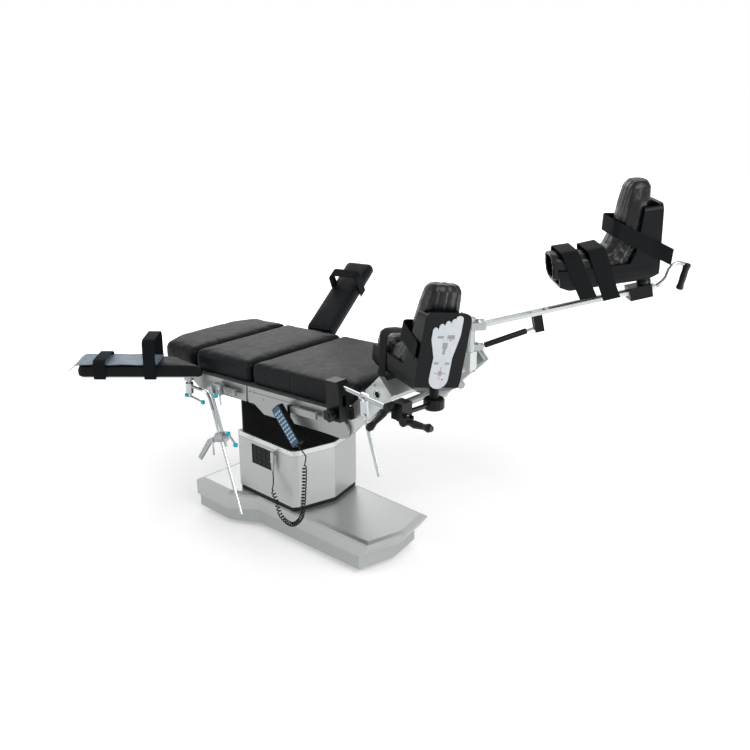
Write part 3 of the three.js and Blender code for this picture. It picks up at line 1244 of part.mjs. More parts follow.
function farBeam() {
  const across = half(beam.spread) + half(beam.railWide);
  const high = half(beam.railHigh);
  const rails = railSides(0).map(([y0, y1]) => span(0, beam.long, y0, y1, -high, high));
  const root = join(rod([0, -across, 0], [0, across, 0], beam.rootRound, smooth),
    span(0, beam.blockLong, -across, across, -high - gap, high + gap));
  const ties = [beam.innerTie, beam.long - beam.tie].map((x) => span(x, x + beam.tie, -across, across,
    -high - gap, high + gap));
  const [lugFrom, lugTo] = [strut.onBeam - half(strut.bracketLong), strut.onBeam + half(strut.bracketLong)];
  const lug = span(lugFrom, lugTo, -across, across, -high - strut.bracketHigh, high - gap);
  const lugSlot = span(lugFrom - through, lugTo + through, -half(strut.bracketWide), half(strut.bracketWide),
    -high - strut.bracketHigh - through, -high - through);
  const eyePin = rod([strut.onBeam, -across + gap, -strut.drop], [strut.onBeam, across - gap, -strut.drop],
    strut.pin, plain);
  const pinHole = rod([0, -across - through, 0], [0, across + through, 0], swivel.pin + gap, smooth);
  const bearing = rod([beam.innerTie - through, 0, 0], [beam.long + through, 0, 0], beam.bearing, smooth);
  return cut(join(rails, root, ties, cut(lug, lugSlot), eyePin), pinHole, bearing);
}

// Strut that steadies the far beam, measured from its lower eye: +X toward its upper eye
function strutEye(at, hole) {
  const across = half(strut.eyeWide);
  return cut(rod([at, -across, 0], [at, across, 0], strut.eye, smooth),
    rod([at, -across - through, 0], [at, across + through, 0], hole, plain));
}

function strutBarrel() {
  const from = strut.neck;
  const to = strut.neck + strut.barrelLong;
  const body = pin([from, 0, 0], [to, 0, 0], strut.barrel, strut.ease, smooth);
  const neck = rod([strut.eye - strut.ease, 0, 0], [from + strut.ease, 0, 0], strut.rod, plain);
  const bore = rod([from + strut.neck, 0, 0], [to + through, 0, 0], strut.rod + gap, plain);
  return join(cut(body, bore), neck, strutEye(0, strut.pin + gap));
}

function strutReach() {
  const lift = radians(beam.lift);
  const x = strut.onBeam * Math.cos(lift) + strut.drop * Math.sin(lift);
  const z = strut.rootDrop - strut.drop * Math.cos(lift) + strut.onBeam * Math.sin(lift);
  return { long: Math.hypot(x, z), lift: THREE.MathUtils.radToDeg(Math.atan2(z, x)) };
}

function strutRodBody() {
  const { long } = strutReach();
  return join(rod([strut.rodStart, 0, 0], [long - strut.eye + strut.ease, 0, 0], strut.rod, plain),
    strutEye(long, strut.pin + strut.looseEye));
}

// Far carriage on the beam, and the crank with its traction screw
function farCarriageBody() {
  const across = half(farCarriage.wide);
  const [from, to] = [farCarriage.along - half(farCarriage.long), farCarriage.along + half(farCarriage.long)];
  const block = span(from, to, -across, across, farCarriage.low, farCarriage.high);
  const high = half(beam.railHigh) + gap;
  const channels = railSides(gap).map(([y0, y1]) => span(from - through, to + through, y0, y1, -high, high));
  const screwHole = rod([from - through, 0, 0], [to + through, 0, 0], farCrank.screw + gap, smooth);
  const postTop = farCarriage.high + farCarriage.postHigh;
  const post = rod([farBoot.postX, 0, farCarriage.high - gap], [farBoot.postX, 0, postTop],
    farCarriage.postRadius, smooth);
  const stud = rod([farBoot.postX, 0, postTop - gap], [farBoot.postX, 0, postTop + farCarriage.studHigh],
    farCarriage.stud, smooth);
  return join(cut(block, channels, screwHole), post, stud);
}

function farCrankBody() {
  const screwBar = rod([farCrank.screwFrom, 0, 0], [farCrank.screwTo, 0, 0], farCrank.screw, plain);
  const points = crankArmShares.map(([along, up]) => [farCrank.screwTo - farCrank.lap
    + farCrank.armLong * along, 0, farCrank.armHigh * up]);
  const arm = tube(points, farCrank.tube, coarse, farCrank.steps);
  const [x, , z] = points.at(-1);
  const gripEnd = [x - farCrank.gripBack, 0, z - farCrank.gripDrop];
  const profile = gripProfile(lengthBetween([x, 0, z], gripEnd));
  return join(screwBar, arm, turned(profile, [x, 0, z], gripEnd, coarse), ball([x, 0, z], farCrank.ball,
    coarse));
}

function gripProfile(long) {
  const at = crankGripShares;
  return [[0, 0], [farCrank.waist, 0], [farCrank.waist, long * at.start], [farCrank.grip, long * at.belly],
    [farCrank.grip, long * at.bellyEnd], [farCrank.waist, long * at.neck], [farCrank.ball, long * at.bulb],
    [farCrank.ball, long * at.bulbEnd], [0, long]];
}

// Arm boards, measured from each swivel post
function centreOf(points) {
  return points.reduce((sum, p) => sum.add(new THREE.Vector2(...p)), new THREE.Vector2())
    .divideScalar(points.length);
}

function armOutline(arm) {
  return [[arm.fromX, arm.nearY], [arm.toX, arm.nearY], [arm.toX, arm.farY], [arm.backX, arm.farY]];
}

function armRing(arm, shrink) {
  return rounded(inset(armOutline(arm), shrink), board.round, board.roundSteps);
}

function armPad(arm) {
  const low = board.baseThick + gap;
  const rings = boardRings.map((ring) => level(armRing(arm, ring.inset), low + board.thick * ring.upShare));
  const rim = armRing(arm, boardRings.at(-1).inset);
  const centre = centreOf(rim);
  const crown = crownRings.map((ring) => level(rim.map(([x, y]) => [
    centre.x + (x - centre.x) * ring.outShare,
    centre.y + (y - centre.y) * ring.outShare,
  ]), low + board.thick + board.crown * ring.upShare));
  return loft([...rings, ...crown]);
}

function armPlate(arm) {
  return raised(armRing(arm, board.baseInset), 0, board.baseThick);
}

function nearArmBoard() {
  const post = rod([0, 0, -mount.postLong], [0, 0, half(board.baseThick)], mount.post, smooth);
  const hub = rod([0, 0, -mount.hubHigh], [0, 0, half(board.baseThick)], mount.hub, smooth);
  return join(armPlate(nearArm), post, hub);
}

function armStrapBand(arm, along, rise) {
  const top = board.baseThick + board.thick + rise;
  return strapBand(half(arm.farY - arm.nearY) + armStrap.clear, -armStrap.clear, top, armStrap.wide,
    armStrap.tail).translate([along, half(arm.nearY + arm.farY), 0]);
}

function armSheet() {
  const low = board.baseThick + board.thick + board.crown + sheet.lift;
  const rings = [];
  for (let i = 0; i <= sheet.steps; i += 1) {
    const x = sheet.fromX + (sheet.toX - sheet.fromX) * i / sheet.steps;
    const past = Math.max(0, (x - sheet.edgeX) / (sheet.toX - sheet.edgeX));
    const over = [];
    const under = [];
    for (let k = 0; k <= sheet.across; k += 1) {
      const share = k / sheet.across;
      const y = sheet.fromY + (sheet.toY - sheet.fromY) * share;
      const turns = sheet.waves * i / sheet.steps + share;
      const z = low + sheet.wave * (1 + Math.sin(2 * Math.PI * turns)) - sheet.droop * past * past;
      over.push(new THREE.Vector3(x, y, z + sheet.thick));
      under.unshift(new THREE.Vector3(x, y, z));
    }
    rings.push([...over, ...under]);
  }
  return loft(rings);
}

// Far arm board: rail bracket with a post, a knuckle that swivels, a board that tilts
function railGrip(u, side) {
  const outer = sideFrame.outer + rail.standoff + rail.thick;
  const inner = outer - rail.thick;
  const [u0, u1] = [u - half(railClamp.wide), u + half(railClamp.wide)];
  const [low, high] = [rail.topW - rail.high, rail.topW];
  const boxOf = (nearer, further, w0, w1, grow) => {
    const [v0, v1] = sideRange(side, nearer, further);
    return span(u0 - grow, u1 + grow, v0, v1, w0, w1);
  };
  const block = boxOf(inner - railClamp.lip, outer + railClamp.grip, low - railClamp.grip,
    high + railClamp.grip, 0);
  const railSpace = boxOf(inner - gap, outer + rail.screwProud + gap, low - gap, high + gap, through);
  const mouth = boxOf(inner - railClamp.lip - through, inner, low + railClamp.lip, high - railClamp.lip,
    through);
  return cut(block, railSpace, mouth);
}

function farArmBracket() {
  const gripBody = intoFloor(railGrip(farMount.u, 1), tableFrame);
  const outer = sideFrame.outer + rail.standoff + rail.thick;
  const armLow = farMount.armZ;
  const bracketArm = span(farArm.x, farMount.u, outer + railClamp.lip, outer + farMount.armReach, armLow,
    armLow + farMount.armThick);
  const post = rod([farArm.x, farArm.y, armLow], [farArm.x, farArm.y, armLow + farMount.postHigh],
    farMount.knuckle + farMount.lug, smooth);
  const spindle = rod([farArm.x, farArm.y, armLow], [farArm.x, farArm.y, armLow + farMount.postHigh
    + farMount.fork], farMount.lug, smooth);
  return join(gripBody, bracketArm, post, spindle);
}

function farArmKnuckle() {
  const low = farMount.armZ + farMount.postHigh + gap - farArm.z;
  const hub = rod([0, 0, low], [0, 0, low + farMount.fork + farMount.lug], farMount.knuckle + farMount.lug,
    smooth);
  const well = rod([0, 0, low - through], [0, 0, low + farMount.fork + gap], farMount.lug + gap, smooth);
  const cheeks = bothSides((side) => {
    const [y0, y1] = sideRange(side, farMount.fork, farMount.fork + farMount.lug);
    return join(span(-farMount.knuckle, farMount.knuckle, y0, y1, low + farMount.fork, 0),
      upright(discPoints(0, 0, farMount.knuckle, smooth), y0, y1));
  });
  const axleBar = rod([0, -farMount.fork - farMount.lug, 0], [0, farMount.fork + farMount.lug, 0],
    farMount.pin, smooth);
  return join(cut(hub, well), cheeks, axleBar);
}

function farArmBoard() {
  const inner = farMount.fork - gap;
  const eye = rod([0, -inner, 0], [0, inner, 0], farMount.pin + farMount.lug, smooth);
  const link = span(0, farArm.fromX + farMount.linkInto, -inner, inner, -half(farMount.pin),
    half(board.baseThick));
  const hole = rod([0, -inner - through, 0], [0, inner + through, 0], farMount.pin + gap, smooth);
  return cut(join(armPlate(farArm), link, eye), hole);
}

// Rail clamp, its hanger and the support rod under the near arm board
function rodSlope() {
  return (bentRod.bottomX - bentRod.kneeX) / (bentRod.kneeZ - bentRod.bottomZ);
}

// How far the hanger stands from the bent rod, which it runs beside
function hangerAside() {
  const rodX = bentRod.kneeX - (hanger.topZ - bentRod.kneeZ) * rodSlope();
  return (hanger.topX - rodX) * Math.cos(Math.atan(rodSlope()));
}

function hangerPoint(z) {
  return [hanger.topX + (hanger.topZ - z) * rodSlope(), rodPlane.y, z];
}

function railClampBody() {
  const grips = intoFloor(railGrip(railClamp.u, -1), tableFrame);
  const boss = rod(hangerPoint(hanger.topZ + railClamp.bossLong), hangerPoint(hanger.topZ - railClamp.wall),
    railClamp.boss, smooth);
  return join(grips, boss, rod(hangerPoint(hanger.topZ), hangerPoint(hanger.bottomZ), hanger.radius, plain));
}

function bentRodBody() {
  const at = (x, z) => [x, rodPlane.y, z];
  const knee = at(bentRod.kneeX, bentRod.kneeZ);
  const straight = pin(knee, at(bentRod.bottomX, bentRod.bottomZ), bentRod.radius, bentRod.tip, plain);
  const bends = bendShares.map(([along, up]) => at(
    bentRod.socketX + (bentRod.kneeX - bentRod.socketX) * along,
    bentRod.kneeZ + (bentRod.armZ - bentRod.kneeZ) * up,
  ));
  const elbow = tube([at(bentRod.socketX, bentRod.armZ), ...bends, knee], bentRod.radius, medium,
    bentRod.steps);
  const socket = pin(at(bentRod.socketX, bentRod.socketTop), at(bentRod.socketX, bentRod.socketLow),
    bentRod.socketRadius, bentRod.tip, smooth);
  const stem = rod(at(bentRod.socketX, bentRod.socketLow + bentRod.tip),
    at(bentRod.socketX, bentRod.leverZ - bentRod.stemRadius), bentRod.stemRadius, plain);
  const leverEnd = at(bentRod.leverX, bentRod.leverEndZ);
  const lever = rod(at(bentRod.socketX, bentRod.leverZ), leverEnd, bentRod.leverRadius, coarse);
  const well = rod(at(bentRod.socketX, bentRod.socketTop + through),
    at(bentRod.socketX, bentRod.socketTop - bentRod.wellDeep), mount.post + gap, smooth);
  return cut(join(straight, elbow, ball(knee, bentRod.radius, coarse), socket, stem, lever,
    ball(leverEnd, bentRod.ball, coarse)), well);
}

function jointClampFrame() {
  const x = bentRod.kneeX + (bentRod.kneeZ - jointClamp.z) * rodSlope();
  return frameAt(x, rodPlane.y, jointClamp.z, 0, THREE.MathUtils.radToDeg(Math.atan(rodSlope())), 0);
}

function jointClampBody() {
  const barrel = rod([jointClamp.fromX, 0, 0], [jointClamp.toX, 0, 0], jointClamp.radius, smooth);
  const flatPoints = flatShares.map(([along, up]) => [jointClamp.flatLong * along, jointClamp.flatDrop * up]);
  const flat = upright(flatPoints.reverse(), -half(jointClamp.flatThick), half(jointClamp.flatThick));
  const points = handleShares.map(([along, up]) => [jointClamp.handleReach * along, 0,
    jointClamp.handleDrop * up]);
  const handleBars = points.slice(1).map((point, i) => rod(points[i], point, jointClamp.handleRadius,
    coarse));
  const balls = points.slice(1).map((point) => ball(point, jointClamp.ball, coarse));
  const root = ball(points[0], jointClamp.rootRadius, coarse);
  const holes = [[0, bentRod.radius], [hangerAside(), hanger.radius]].map(([x, radius]) => rod(
    [x, 0, -jointClamp.radius - through], [x, 0, jointClamp.radius + through], radius + gap, smooth));
  return cut(join(barrel, flat, root, handleBars, balls), holes);
}

// Hand pendant, measured from its middle: +Z along its length, -Y its face
function pendantShell() {
  const [wide, long, thick] = [half(pendant.wide), half(pendant.long), half(pendant.thick)];
  const corners = [[-wide, -long], [wide, -long], [wide, long], [-wide, long]];
  const face = rounded(corners, pendant.round, pendant.roundSteps);
  const keys = [];
  const [marginX, marginZ] = [pendant.wide * pendant.keyMarginShare, pendant.long * pendant.keyMarginShare];
  const [stepX, stepZ] = [(pendant.wide - 2 * marginX) / pendant.columns,
    (pendant.long - 2 * marginZ) / pendant.rows];
  for (let i = 0; i < pendant.columns; i += 1) {
    for (let k = 0; k < pendant.rows; k += 1) {
      const x = marginX - wide + stepX * (i + half(1));
      const z = marginZ - long + stepZ * (k + half(1));
      keys.push(span(x - half(pendant.keyWide), x + half(pendant.keyWide), -thick - pendant.keyProud,
        pendant.keyProud - thick, z - half(pendant.keyHigh), z + half(pendant.keyHigh)));
    }
  }
  const collar = rod([0, 0, pendant.keyProud - long], [0, 0, -long - pendant.collarLong], pendant.collar,
    plain);
  return join(upright(face, -thick, thick), keys, collar);
}

// The pendant's hook over the end of the near seat rail, in the table frame
function pendantHook() {
  const front = -sideFrame.outer - rail.standoff - rail.thick - gap;
  const back = front + rail.thick + gap * 2;
  const [u0, u1] = [rail.seatFrom + gap, rail.seatFrom + gap + pendant.hookWide];
  const top = rail.topW + gap;
  const tipW = rail.topW - half(rail.high);
  const lowW = rail.topW - rail.high - pendant.hookDrop;
  return join(
    span(u0, u1, front - pendant.hookThick, front, lowW, top + pendant.hookThick),
    span(u0, u1, front - pendant.hookThick, back + pendant.hookThick, top, top + pendant.hookThick),
    span(u0, u1, back, back + pendant.hookThick, tipW, top + pendant.hookThick),
    span(u0, u1, front - pendant.hookBack, front, lowW, lowW + pendant.hookBlock),
  );
}

function pendantBody() {
  return join(intoFloor(pendantShell(), pendantFrame), intoFloor(pendantHook(), tableFrame));
}

// Curly cord: one tube through plain points, then the curls, then plain points
function curledPoints() {
  const path = new THREE.CatmullRomCurve3(cordRoute.curled.map((p) => new THREE.Vector3(...p)), false,
    'centripetal');
  const steps = cord.curls * cord.curlSteps;
  const frames = path.computeFrenetFrames(steps, false);
  return path.getSpacedPoints(steps).map((centre, i) => {
    const angle = 2 * Math.PI * i / cord.curlSteps;
    const ease = Math.min(1, i / cord.curlSteps, (steps - i) / cord.curlSteps);
    return centre.addScaledVector(frames.normals[i], cord.curlRadius * ease * Math.cos(angle))
      .addScaledVector(frames.binormals[i], cord.curlRadius * ease * Math.sin(angle));
  });
}

function cordPoints() {
  const plugEnd = new THREE.Vector3(plug.x, -column.half - gap - plug.stubLength,
    plug.z - plug.bodyLength + plug.sink - plug.reliefLength - gap);
  const plugLead = plugEnd.clone().setZ(plugEnd.z - cord.lead);
  const collarEnd = pendantFrame.localToWorld(new THREE.Vector3(0, 0,
    -half(pendant.long) - pendant.collarLong - gap));
  const collarLead = pendantFrame.localToWorld(new THREE.Vector3(0, 0,
    -half(pendant.long) - pendant.collarLong - cord.lead));
  const plain = (points) => points.map((p) => new THREE.Vector3(...p));
  return [plugEnd, plugLead, ...plain(cordRoute.low), ...curledPoints(), ...plain(cordRoute.high),
    collarLead, collarEnd];
}

// The least gap between the cord and itself, counted from points half a curl apart or more
function selfGap(points) {
  let least = Infinity;
  for (let i = 0; i < points.length; i += 1) {
    for (let k = i + half(cord.curlSteps); k < points.length; k += 1) {
      least = Math.min(least, points[i].distanceTo(points[k]));
    }
  }
  return least - 2 * cord.radius;
}

function woundTube(points, radius, sides) {
  const normal = new THREE.Vector3(0, 1, 0);
  const rings = points.map((point, i) => {
    const before = points[Math.max(0, i - 1)];
    const after = points[Math.min(points.length - 1, i + 1)];
    const along = after.clone().sub(before).normalize();
    normal.addScaledVector(along, -normal.dot(along)).normalize();
    const across = along.clone().cross(normal);
    return Array.from({ length: sides }, (_, k) => {
      const angle = 2 * Math.PI * k / sides;
      return point.clone().addScaledVector(normal, radius * Math.cos(angle))
        .addScaledVector(across, radius * Math.sin(angle));
    });
  });
  return loft(rings);
}

function pendantCord() {
  const points = cordPoints();
  console.log(`least gap between curls: ${selfGap(points).toFixed(2)} mm`);
  return woundTube(points, cord.radius, cord.sides);
}

// Frames of the beam, the boots, the arm boards and the pendant
const swivelFrame = frameAt(...crossSpot(tower.ahead, tower.across, tower.rise), beam.yaw, 0, 0);
const beamFrame = frameAt(swivel.reach, 0, 0, 0, beam.lift, 0);
const strutFrame = frameAt(swivel.reach, 0, -strut.rootDrop, 0, strutReach().lift, 0);
const farBootFrame = frameAt(farBoot.x, 0, farBoot.z, 0, farBoot.lift, 0);
const nearBootFrame = frameAt(...carriageSpot(carriage.postAhead, carriage.postAside, nearBoot.rise),
  nearBoot.yaw, nearBoot.lift, nearBoot.roll);
const nearArmFrame = frameAt(bentRod.socketX, rodPlane.y, nearArm.z, nearArm.yaw, nearArm.lift, 0);
const farKnuckleFrame = frameAt(farArm.x, farArm.y, farArm.z, farArm.yaw, 0, 0);
const farArmFrame = frameAt(0, 0, 0, 0, farArm.lift, 0);
const pendantFrame = frameAt(pendant.x, pendant.y, pendant.z, 0, pendant.angle, 0);
swivelFrame.add(beamFrame, strutFrame);
beamFrame.add(farBootFrame);
farKnuckleFrame.add(farArmFrame);
pendantFrame.updateMatrixWorld(true);

// Assembly
function addStand(group) {
  put(group, 'base_cover', baseCover(), finishes.brushed);
  put(group, 'base_plinth', basePlinth(), finishes.steel);
  castorPlaces().forEach(([x, y]) => {
    const name = `castor_wheel_${x < 0 ? 'head' : 'foot'}_${y < 0 ? 'near' : 'far'}`;
    put(group, name, castorWheel(x, y), finishes.rubber);
  });
  put(group, 'column_cover', columnCover(), finishes.brushed);
  put(group, 'socket_panel', socketPanel(), finishes.blackPlastic);
  put(group, 'cord_plug', cordPlug(), finishes.bright);
  put(group, 'column_bellows', bellowsSleeve(), finishes.rubber);
  put(group, 'lift_core', liftCore(), finishes.steel);
  put(group, 'tilt_yoke', tiltYoke(), finishes.steel);
  put(group, 'tilt_cross', tiltCross().translate([0, 0, pivot.z]), finishes.steel);
}

function addTable(group) {
  const add = (name, body, finish) => put(group, name, intoFloor(body, tableFrame), finish);
  add('tilt_cradle', tiltCradle(), finishes.steel);
  add('seat_frame', seatFrame(), finishes.brushed);
  add('seat_cushion', seatCushion(), finishes.vinyl);
  add('back_frame', backFrame(), finishes.brushed);
  add('back_cushion', backCushion(), finishes.vinyl);
  add('head_frame', headFrame(), finishes.brushed);
  add('head_cushion', headCushion(), finishes.vinyl);
  add('bar_clamp', barClampBody(), finishes.blackPaint);
  add('clamp_knob', starKnob(), finishes.blackPlastic);
  add('traction_bar', tractionBar(), finishes.bright);
  add('bar_slider', join(barSlider(), dropRodBody()), finishes.bright);
}

function addNearTraction(group) {
  put(group, 'leg_riser', riserFrameBody(), finishes.brushed);
  put(group, 'stub_beam', stubBeam(), finishes.brushed);
  put(group, 'near_carriage', nearCarriageBody(), finishes.blackPaint);
  put(group, 'near_crank', nearCrank(), finishes.blackPlastic);
  put(group, 'near_lever', nearLever(), finishes.blackPlastic);
  put(group, 'near_boot_shell', nearShell(), finishes.blackPlastic);
  put(group, 'near_boot_liner', intoFloor(bootLiner(), nearBootFrame), finishes.vinyl);
  put(group, 'near_boot_sole', intoFloor(solePad(), nearBootFrame), finishes.white);
  put(group, 'near_boot_strap', intoFloor(bootStrap(bootStraps.shin), nearBootFrame), finishes.webbing);
}

function addFarTraction(group) {
  put(group, 'beam_swivel', intoFloor(beamSwivel(), swivelFrame), finishes.steel);
  put(group, 'far_beam', intoFloor(farBeam(), beamFrame), finishes.brushed);
  put(group, 'strut_barrel', intoFloor(strutBarrel(), strutFrame), finishes.blackPaint);
  put(group, 'strut_rod', intoFloor(strutRodBody(), strutFrame), finishes.bright);
  put(group, 'far_carriage', intoFloor(farCarriageBody(), beamFrame), finishes.blackPaint);
  put(group, 'far_crank', intoFloor(farCrankBody(), beamFrame), finishes.blackPaint);
  put(group, 'far_boot_shell', farShell(), finishes.blackPlastic);
  put(group, 'far_boot_liner', intoFloor(bootLiner(), farBootFrame), finishes.vinyl);
  put(group, 'far_boot_sole', intoFloor(solePad(), farBootFrame), finishes.white);
  Object.entries(bootStraps).forEach(([place, strapPlace]) => {
    put(group, `far_boot_strap_${place}`, intoFloor(bootStrap(strapPlace), farBootFrame), finishes.webbing);
  });
}

function addArms(group) {
  put(group, 'rail_clamp', railClampBody(), finishes.steel);
  put(group, 'joint_clamp', intoFloor(jointClampBody(), jointClampFrame()), finishes.steel);
  put(group, 'bent_rod', bentRodBody(), finishes.bright);
  const near = (name, body, finish) => put(group, name, intoFloor(body, nearArmFrame), finish);
  near('near_arm_board', nearArmBoard(), finishes.steel);
  near('near_arm_pad', armPad(nearArm), finishes.vinyl);
  near('near_arm_sheet', armSheet(), finishes.cloth);
  near('near_arm_strap_wrist', armStrapBand(nearArm, armStrap.wristAlong, armStrap.wristHigh),
    finishes.webbing);
  near('near_arm_strap_elbow', armStrapBand(nearArm, armStrap.forearmAlong, armStrap.loopHigh),
    finishes.webbing);
  put(group, 'far_arm_bracket', farArmBracket(), finishes.steel);
  put(group, 'far_arm_knuckle', intoFloor(farArmKnuckle(), farKnuckleFrame), finishes.steel);
  const far = (name, body, finish) => put(group, name, intoFloor(body, farArmFrame), finish);
  far('far_arm_board', farArmBoard(), finishes.steel);
  far('far_arm_pad', armPad(farArm), finishes.vinyl);
  far('far_arm_strap', armStrapBand(farArm, armStrap.farAlong, armStrap.farHigh), finishes.webbing);
}

function addPendant(group) {
  put(group, 'pendant', pendantBody(), finishes.blue);
  put(group, 'pendant_cord', pendantCord(), finishes.rubber);
}

const table = new THREE.Group();
table.name = 'operating_table';
addStand(table);
addTable(table);
addNearTraction(table);
addFarTraction(table);
addArms(table);
addPendant(table);
table.children.forEach((mesh) => mesh.geometry.translate(-rowOrigin.x, -rowOrigin.y, 0));

export default table;
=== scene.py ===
import math

import bmesh
import bpy
from mathutils import Matrix, Vector, noise


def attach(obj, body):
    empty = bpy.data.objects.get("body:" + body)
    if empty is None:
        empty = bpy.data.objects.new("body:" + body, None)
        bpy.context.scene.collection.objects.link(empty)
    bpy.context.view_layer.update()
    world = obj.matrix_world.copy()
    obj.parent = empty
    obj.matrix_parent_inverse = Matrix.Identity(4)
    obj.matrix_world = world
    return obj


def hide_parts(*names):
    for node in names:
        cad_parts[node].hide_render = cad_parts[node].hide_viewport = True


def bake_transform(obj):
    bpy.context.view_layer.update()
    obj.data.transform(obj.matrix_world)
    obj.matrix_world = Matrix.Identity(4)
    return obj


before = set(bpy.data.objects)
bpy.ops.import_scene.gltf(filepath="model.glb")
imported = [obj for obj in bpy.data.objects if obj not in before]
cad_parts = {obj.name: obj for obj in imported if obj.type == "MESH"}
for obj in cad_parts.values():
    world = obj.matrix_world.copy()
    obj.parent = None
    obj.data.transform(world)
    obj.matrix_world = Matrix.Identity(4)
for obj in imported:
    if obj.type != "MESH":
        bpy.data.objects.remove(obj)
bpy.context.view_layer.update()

# Operating table with arm boards and a leg traction set.
# Lengths are millimetres until mm_to_row turns them to metres in the row frame.
# "Floor" places are measured from the column centre on the floor, as in the CAD.

MM = 0.001
ROW_ORIGIN = Vector((277, 54, 0))
mm_to_row = Matrix.Scale(MM, 4) @ Matrix.Translation(-ROW_ORIGIN)


def placed_frame(x, y, z, yaw=0.0, lift=0.0, roll=0.0):
    """A frame on the floor frame: turned by yaw, then its +X raised by lift, then rolled."""
    turn = (Matrix.Rotation(math.radians(yaw), 4, "Z")
            @ Matrix.Rotation(math.radians(-lift), 4, "Y")
            @ Matrix.Rotation(math.radians(roll), 4, "X"))
    return Matrix.Translation((x, y, z)) @ turn


floor_frame = Matrix.Identity(4)
table_frame = placed_frame(0, 0, 600, lift=3.5)
swivel_frame = placed_frame(735, 200, 989.1, yaw=46.7)
beam_frame = swivel_frame @ placed_frame(40, 0, 0, lift=12)
far_boot_frame = beam_frame @ placed_frame(634, 0, 63.5, lift=-4)
near_boot_frame = placed_frame(945, -258, 918, yaw=-25, lift=3, roll=-8)
near_arm_frame = placed_frame(-301, -326, 675, yaw=223)
far_arm_frame = placed_frame(-214, 336, 700, yaw=107) @ placed_frame(0, 0, 0, lift=28)
pendant_frame = placed_frame(302, -326, 625, lift=43)
riser_frame = table_frame @ placed_frame(541, 0, 33, lift=42)
rod_lean = math.degrees(math.atan(152 / 424))
joint_clamp_frame = placed_frame(-113.6, -326, 457, lift=rod_lean)
strut_frame = swivel_frame @ placed_frame(40, 0, -85, lift=18.9)

# Camera, at the place and angle that the photograph was taken from
PHOTO_SIDE = 750
FOCAL_PIXELS = 950
SENSOR = 36.0
camera_place = Vector((2.49384, -2.54572, 1.98454))
camera_heading = 0.8191325
camera_dip = 0.3410250


def make_camera():
    data = bpy.data.cameras.new("photo_camera")
    data.sensor_width = SENSOR
    data.lens = SENSOR * FOCAL_PIXELS / PHOTO_SIDE
    data.clip_end = 60
    camera = bpy.data.objects.new("photo_camera", data)
    bpy.context.collection.objects.link(camera)
    forward = Vector((-math.cos(camera_heading) * math.cos(camera_dip),
                      math.sin(camera_heading) * math.cos(camera_dip), -math.sin(camera_dip)))
    camera.location = camera_place
    camera.rotation_euler = forward.to_track_quat("-Z", "Y").to_euler()
    bpy.context.scene.camera = camera


make_camera()


# Colours and material nodes
def hex_colour(code):
    """A linear colour from an sRGB hex value."""
    parts = [int(code[i:i + 2], 16) / 255 for i in (1, 3, 5)]
    linear = [c / 12.92 if c <= 0.04045 else ((c + 0.055) / 1.055) ** 2.4 for c in parts]
    return (*linear, 1.0)


def add_node(material, kind, inputs=None, **settings):
    """One shader node with its settings; an input is a value or another node's output."""
    node = material.node_tree.nodes.new("ShaderNode" + kind)
    for name, value in settings.items():
        setattr(node, name, value)
    for name, value in (inputs or {}).items():
        if isinstance(value, bpy.types.NodeSocket):
            material.node_tree.links.new(value, node.inputs[name])
        else:
            node.inputs[name].default_value = value
    return node


def new_material(name, **surface):
    """An empty material with its shader; surface values go on the shader's own sockets."""
    material = bpy.data.materials.new(name)
    material.use_nodes = True
    shader = material.node_tree.nodes["Principled BSDF"]
    for socket, value in surface.items():
        shader.inputs[socket.replace("_", " ")].default_value = value
    return material, shader


def link(material, output, target):
    material.node_tree.links.new(output, target)


def object_place(material, scale=(1, 1, 1), turn=(0, 0, 0)):
    coordinates = add_node(material, "TexCoord")
    mapping = add_node(material, "Mapping", {"Vector": coordinates.outputs["Object"], "Scale": scale,
                                              "Rotation": turn})
    return mapping.outputs["Vector"]


def mixed(material, share, first, second):
    """A colour between two hex colours by a share from another node."""
    ramp = add_node(material, "ValToRGB", {"Fac": share})
    ramp.color_ramp.elements[0].color = hex_colour(first)
    ramp.color_ramp.elements[1].color = hex_colour(second)
    return ramp.outputs["Color"]


def ranged(material, share, low, high):
    spread = add_node(material, "MapRange", {"Value": share, "To Min": low, "To Max": high})
    return spread.outputs["Result"]


def bumped(material, shader, height, strength, distance):
    bump = add_node(material, "Bump", {"Height": height, "Strength": strength, "Distance": distance})
    link(material, bump.outputs["Normal"], shader.inputs["Normal"])


def brushed_steel(name, dark, light, roughness, grain_mm=1.2, along=(0.02, 1, 1)):
    """Stainless sheet, ground with a belt: fine lines along one way that spread the light."""
    material, shader = new_material(name, Metallic=0.74)
    lines = add_node(material, "TexNoise", {
        "Vector": object_place(material, along), "Scale": 1 / (grain_mm * MM), "Detail": 3.0})
    cloud = add_node(material, "TexNoise", {"Vector": object_place(material), "Scale": 7.0, "Detail": 2.0})
    both = add_node(material, "Math", {0: lines.outputs["Fac"], 1: cloud.outputs["Fac"]}, operation="ADD")
    share = ranged(material, both.outputs["Value"], -0.4, 1.4)
    link(material, mixed(material, share, dark, light), shader.inputs["Base Color"])
    rough = ranged(material, lines.outputs["Fac"], roughness - 0.07, roughness + 0.07)
    link(material, rough, shader.inputs["Roughness"])
    bumped(material, shader, lines.outputs["Fac"], 0.25, 0.0001)
    return material


def polished_steel():
    """Chromed and polished bar: a clear mirror with faint wipe marks."""
    material, shader = new_material("polished_chromed_bar", Metallic=1.0)
    smears = add_node(material, "TexNoise", {"Vector": object_place(material), "Scale": 38.0, "Detail": 4.0})
    link(material, mixed(material, smears.outputs["Fac"], "#8F9496", "#B4B9BB"), shader.inputs["Base Color"])
    link(material, ranged(material, smears.outputs["Fac"], 0.12, 0.24), shader.inputs["Roughness"])
    return material


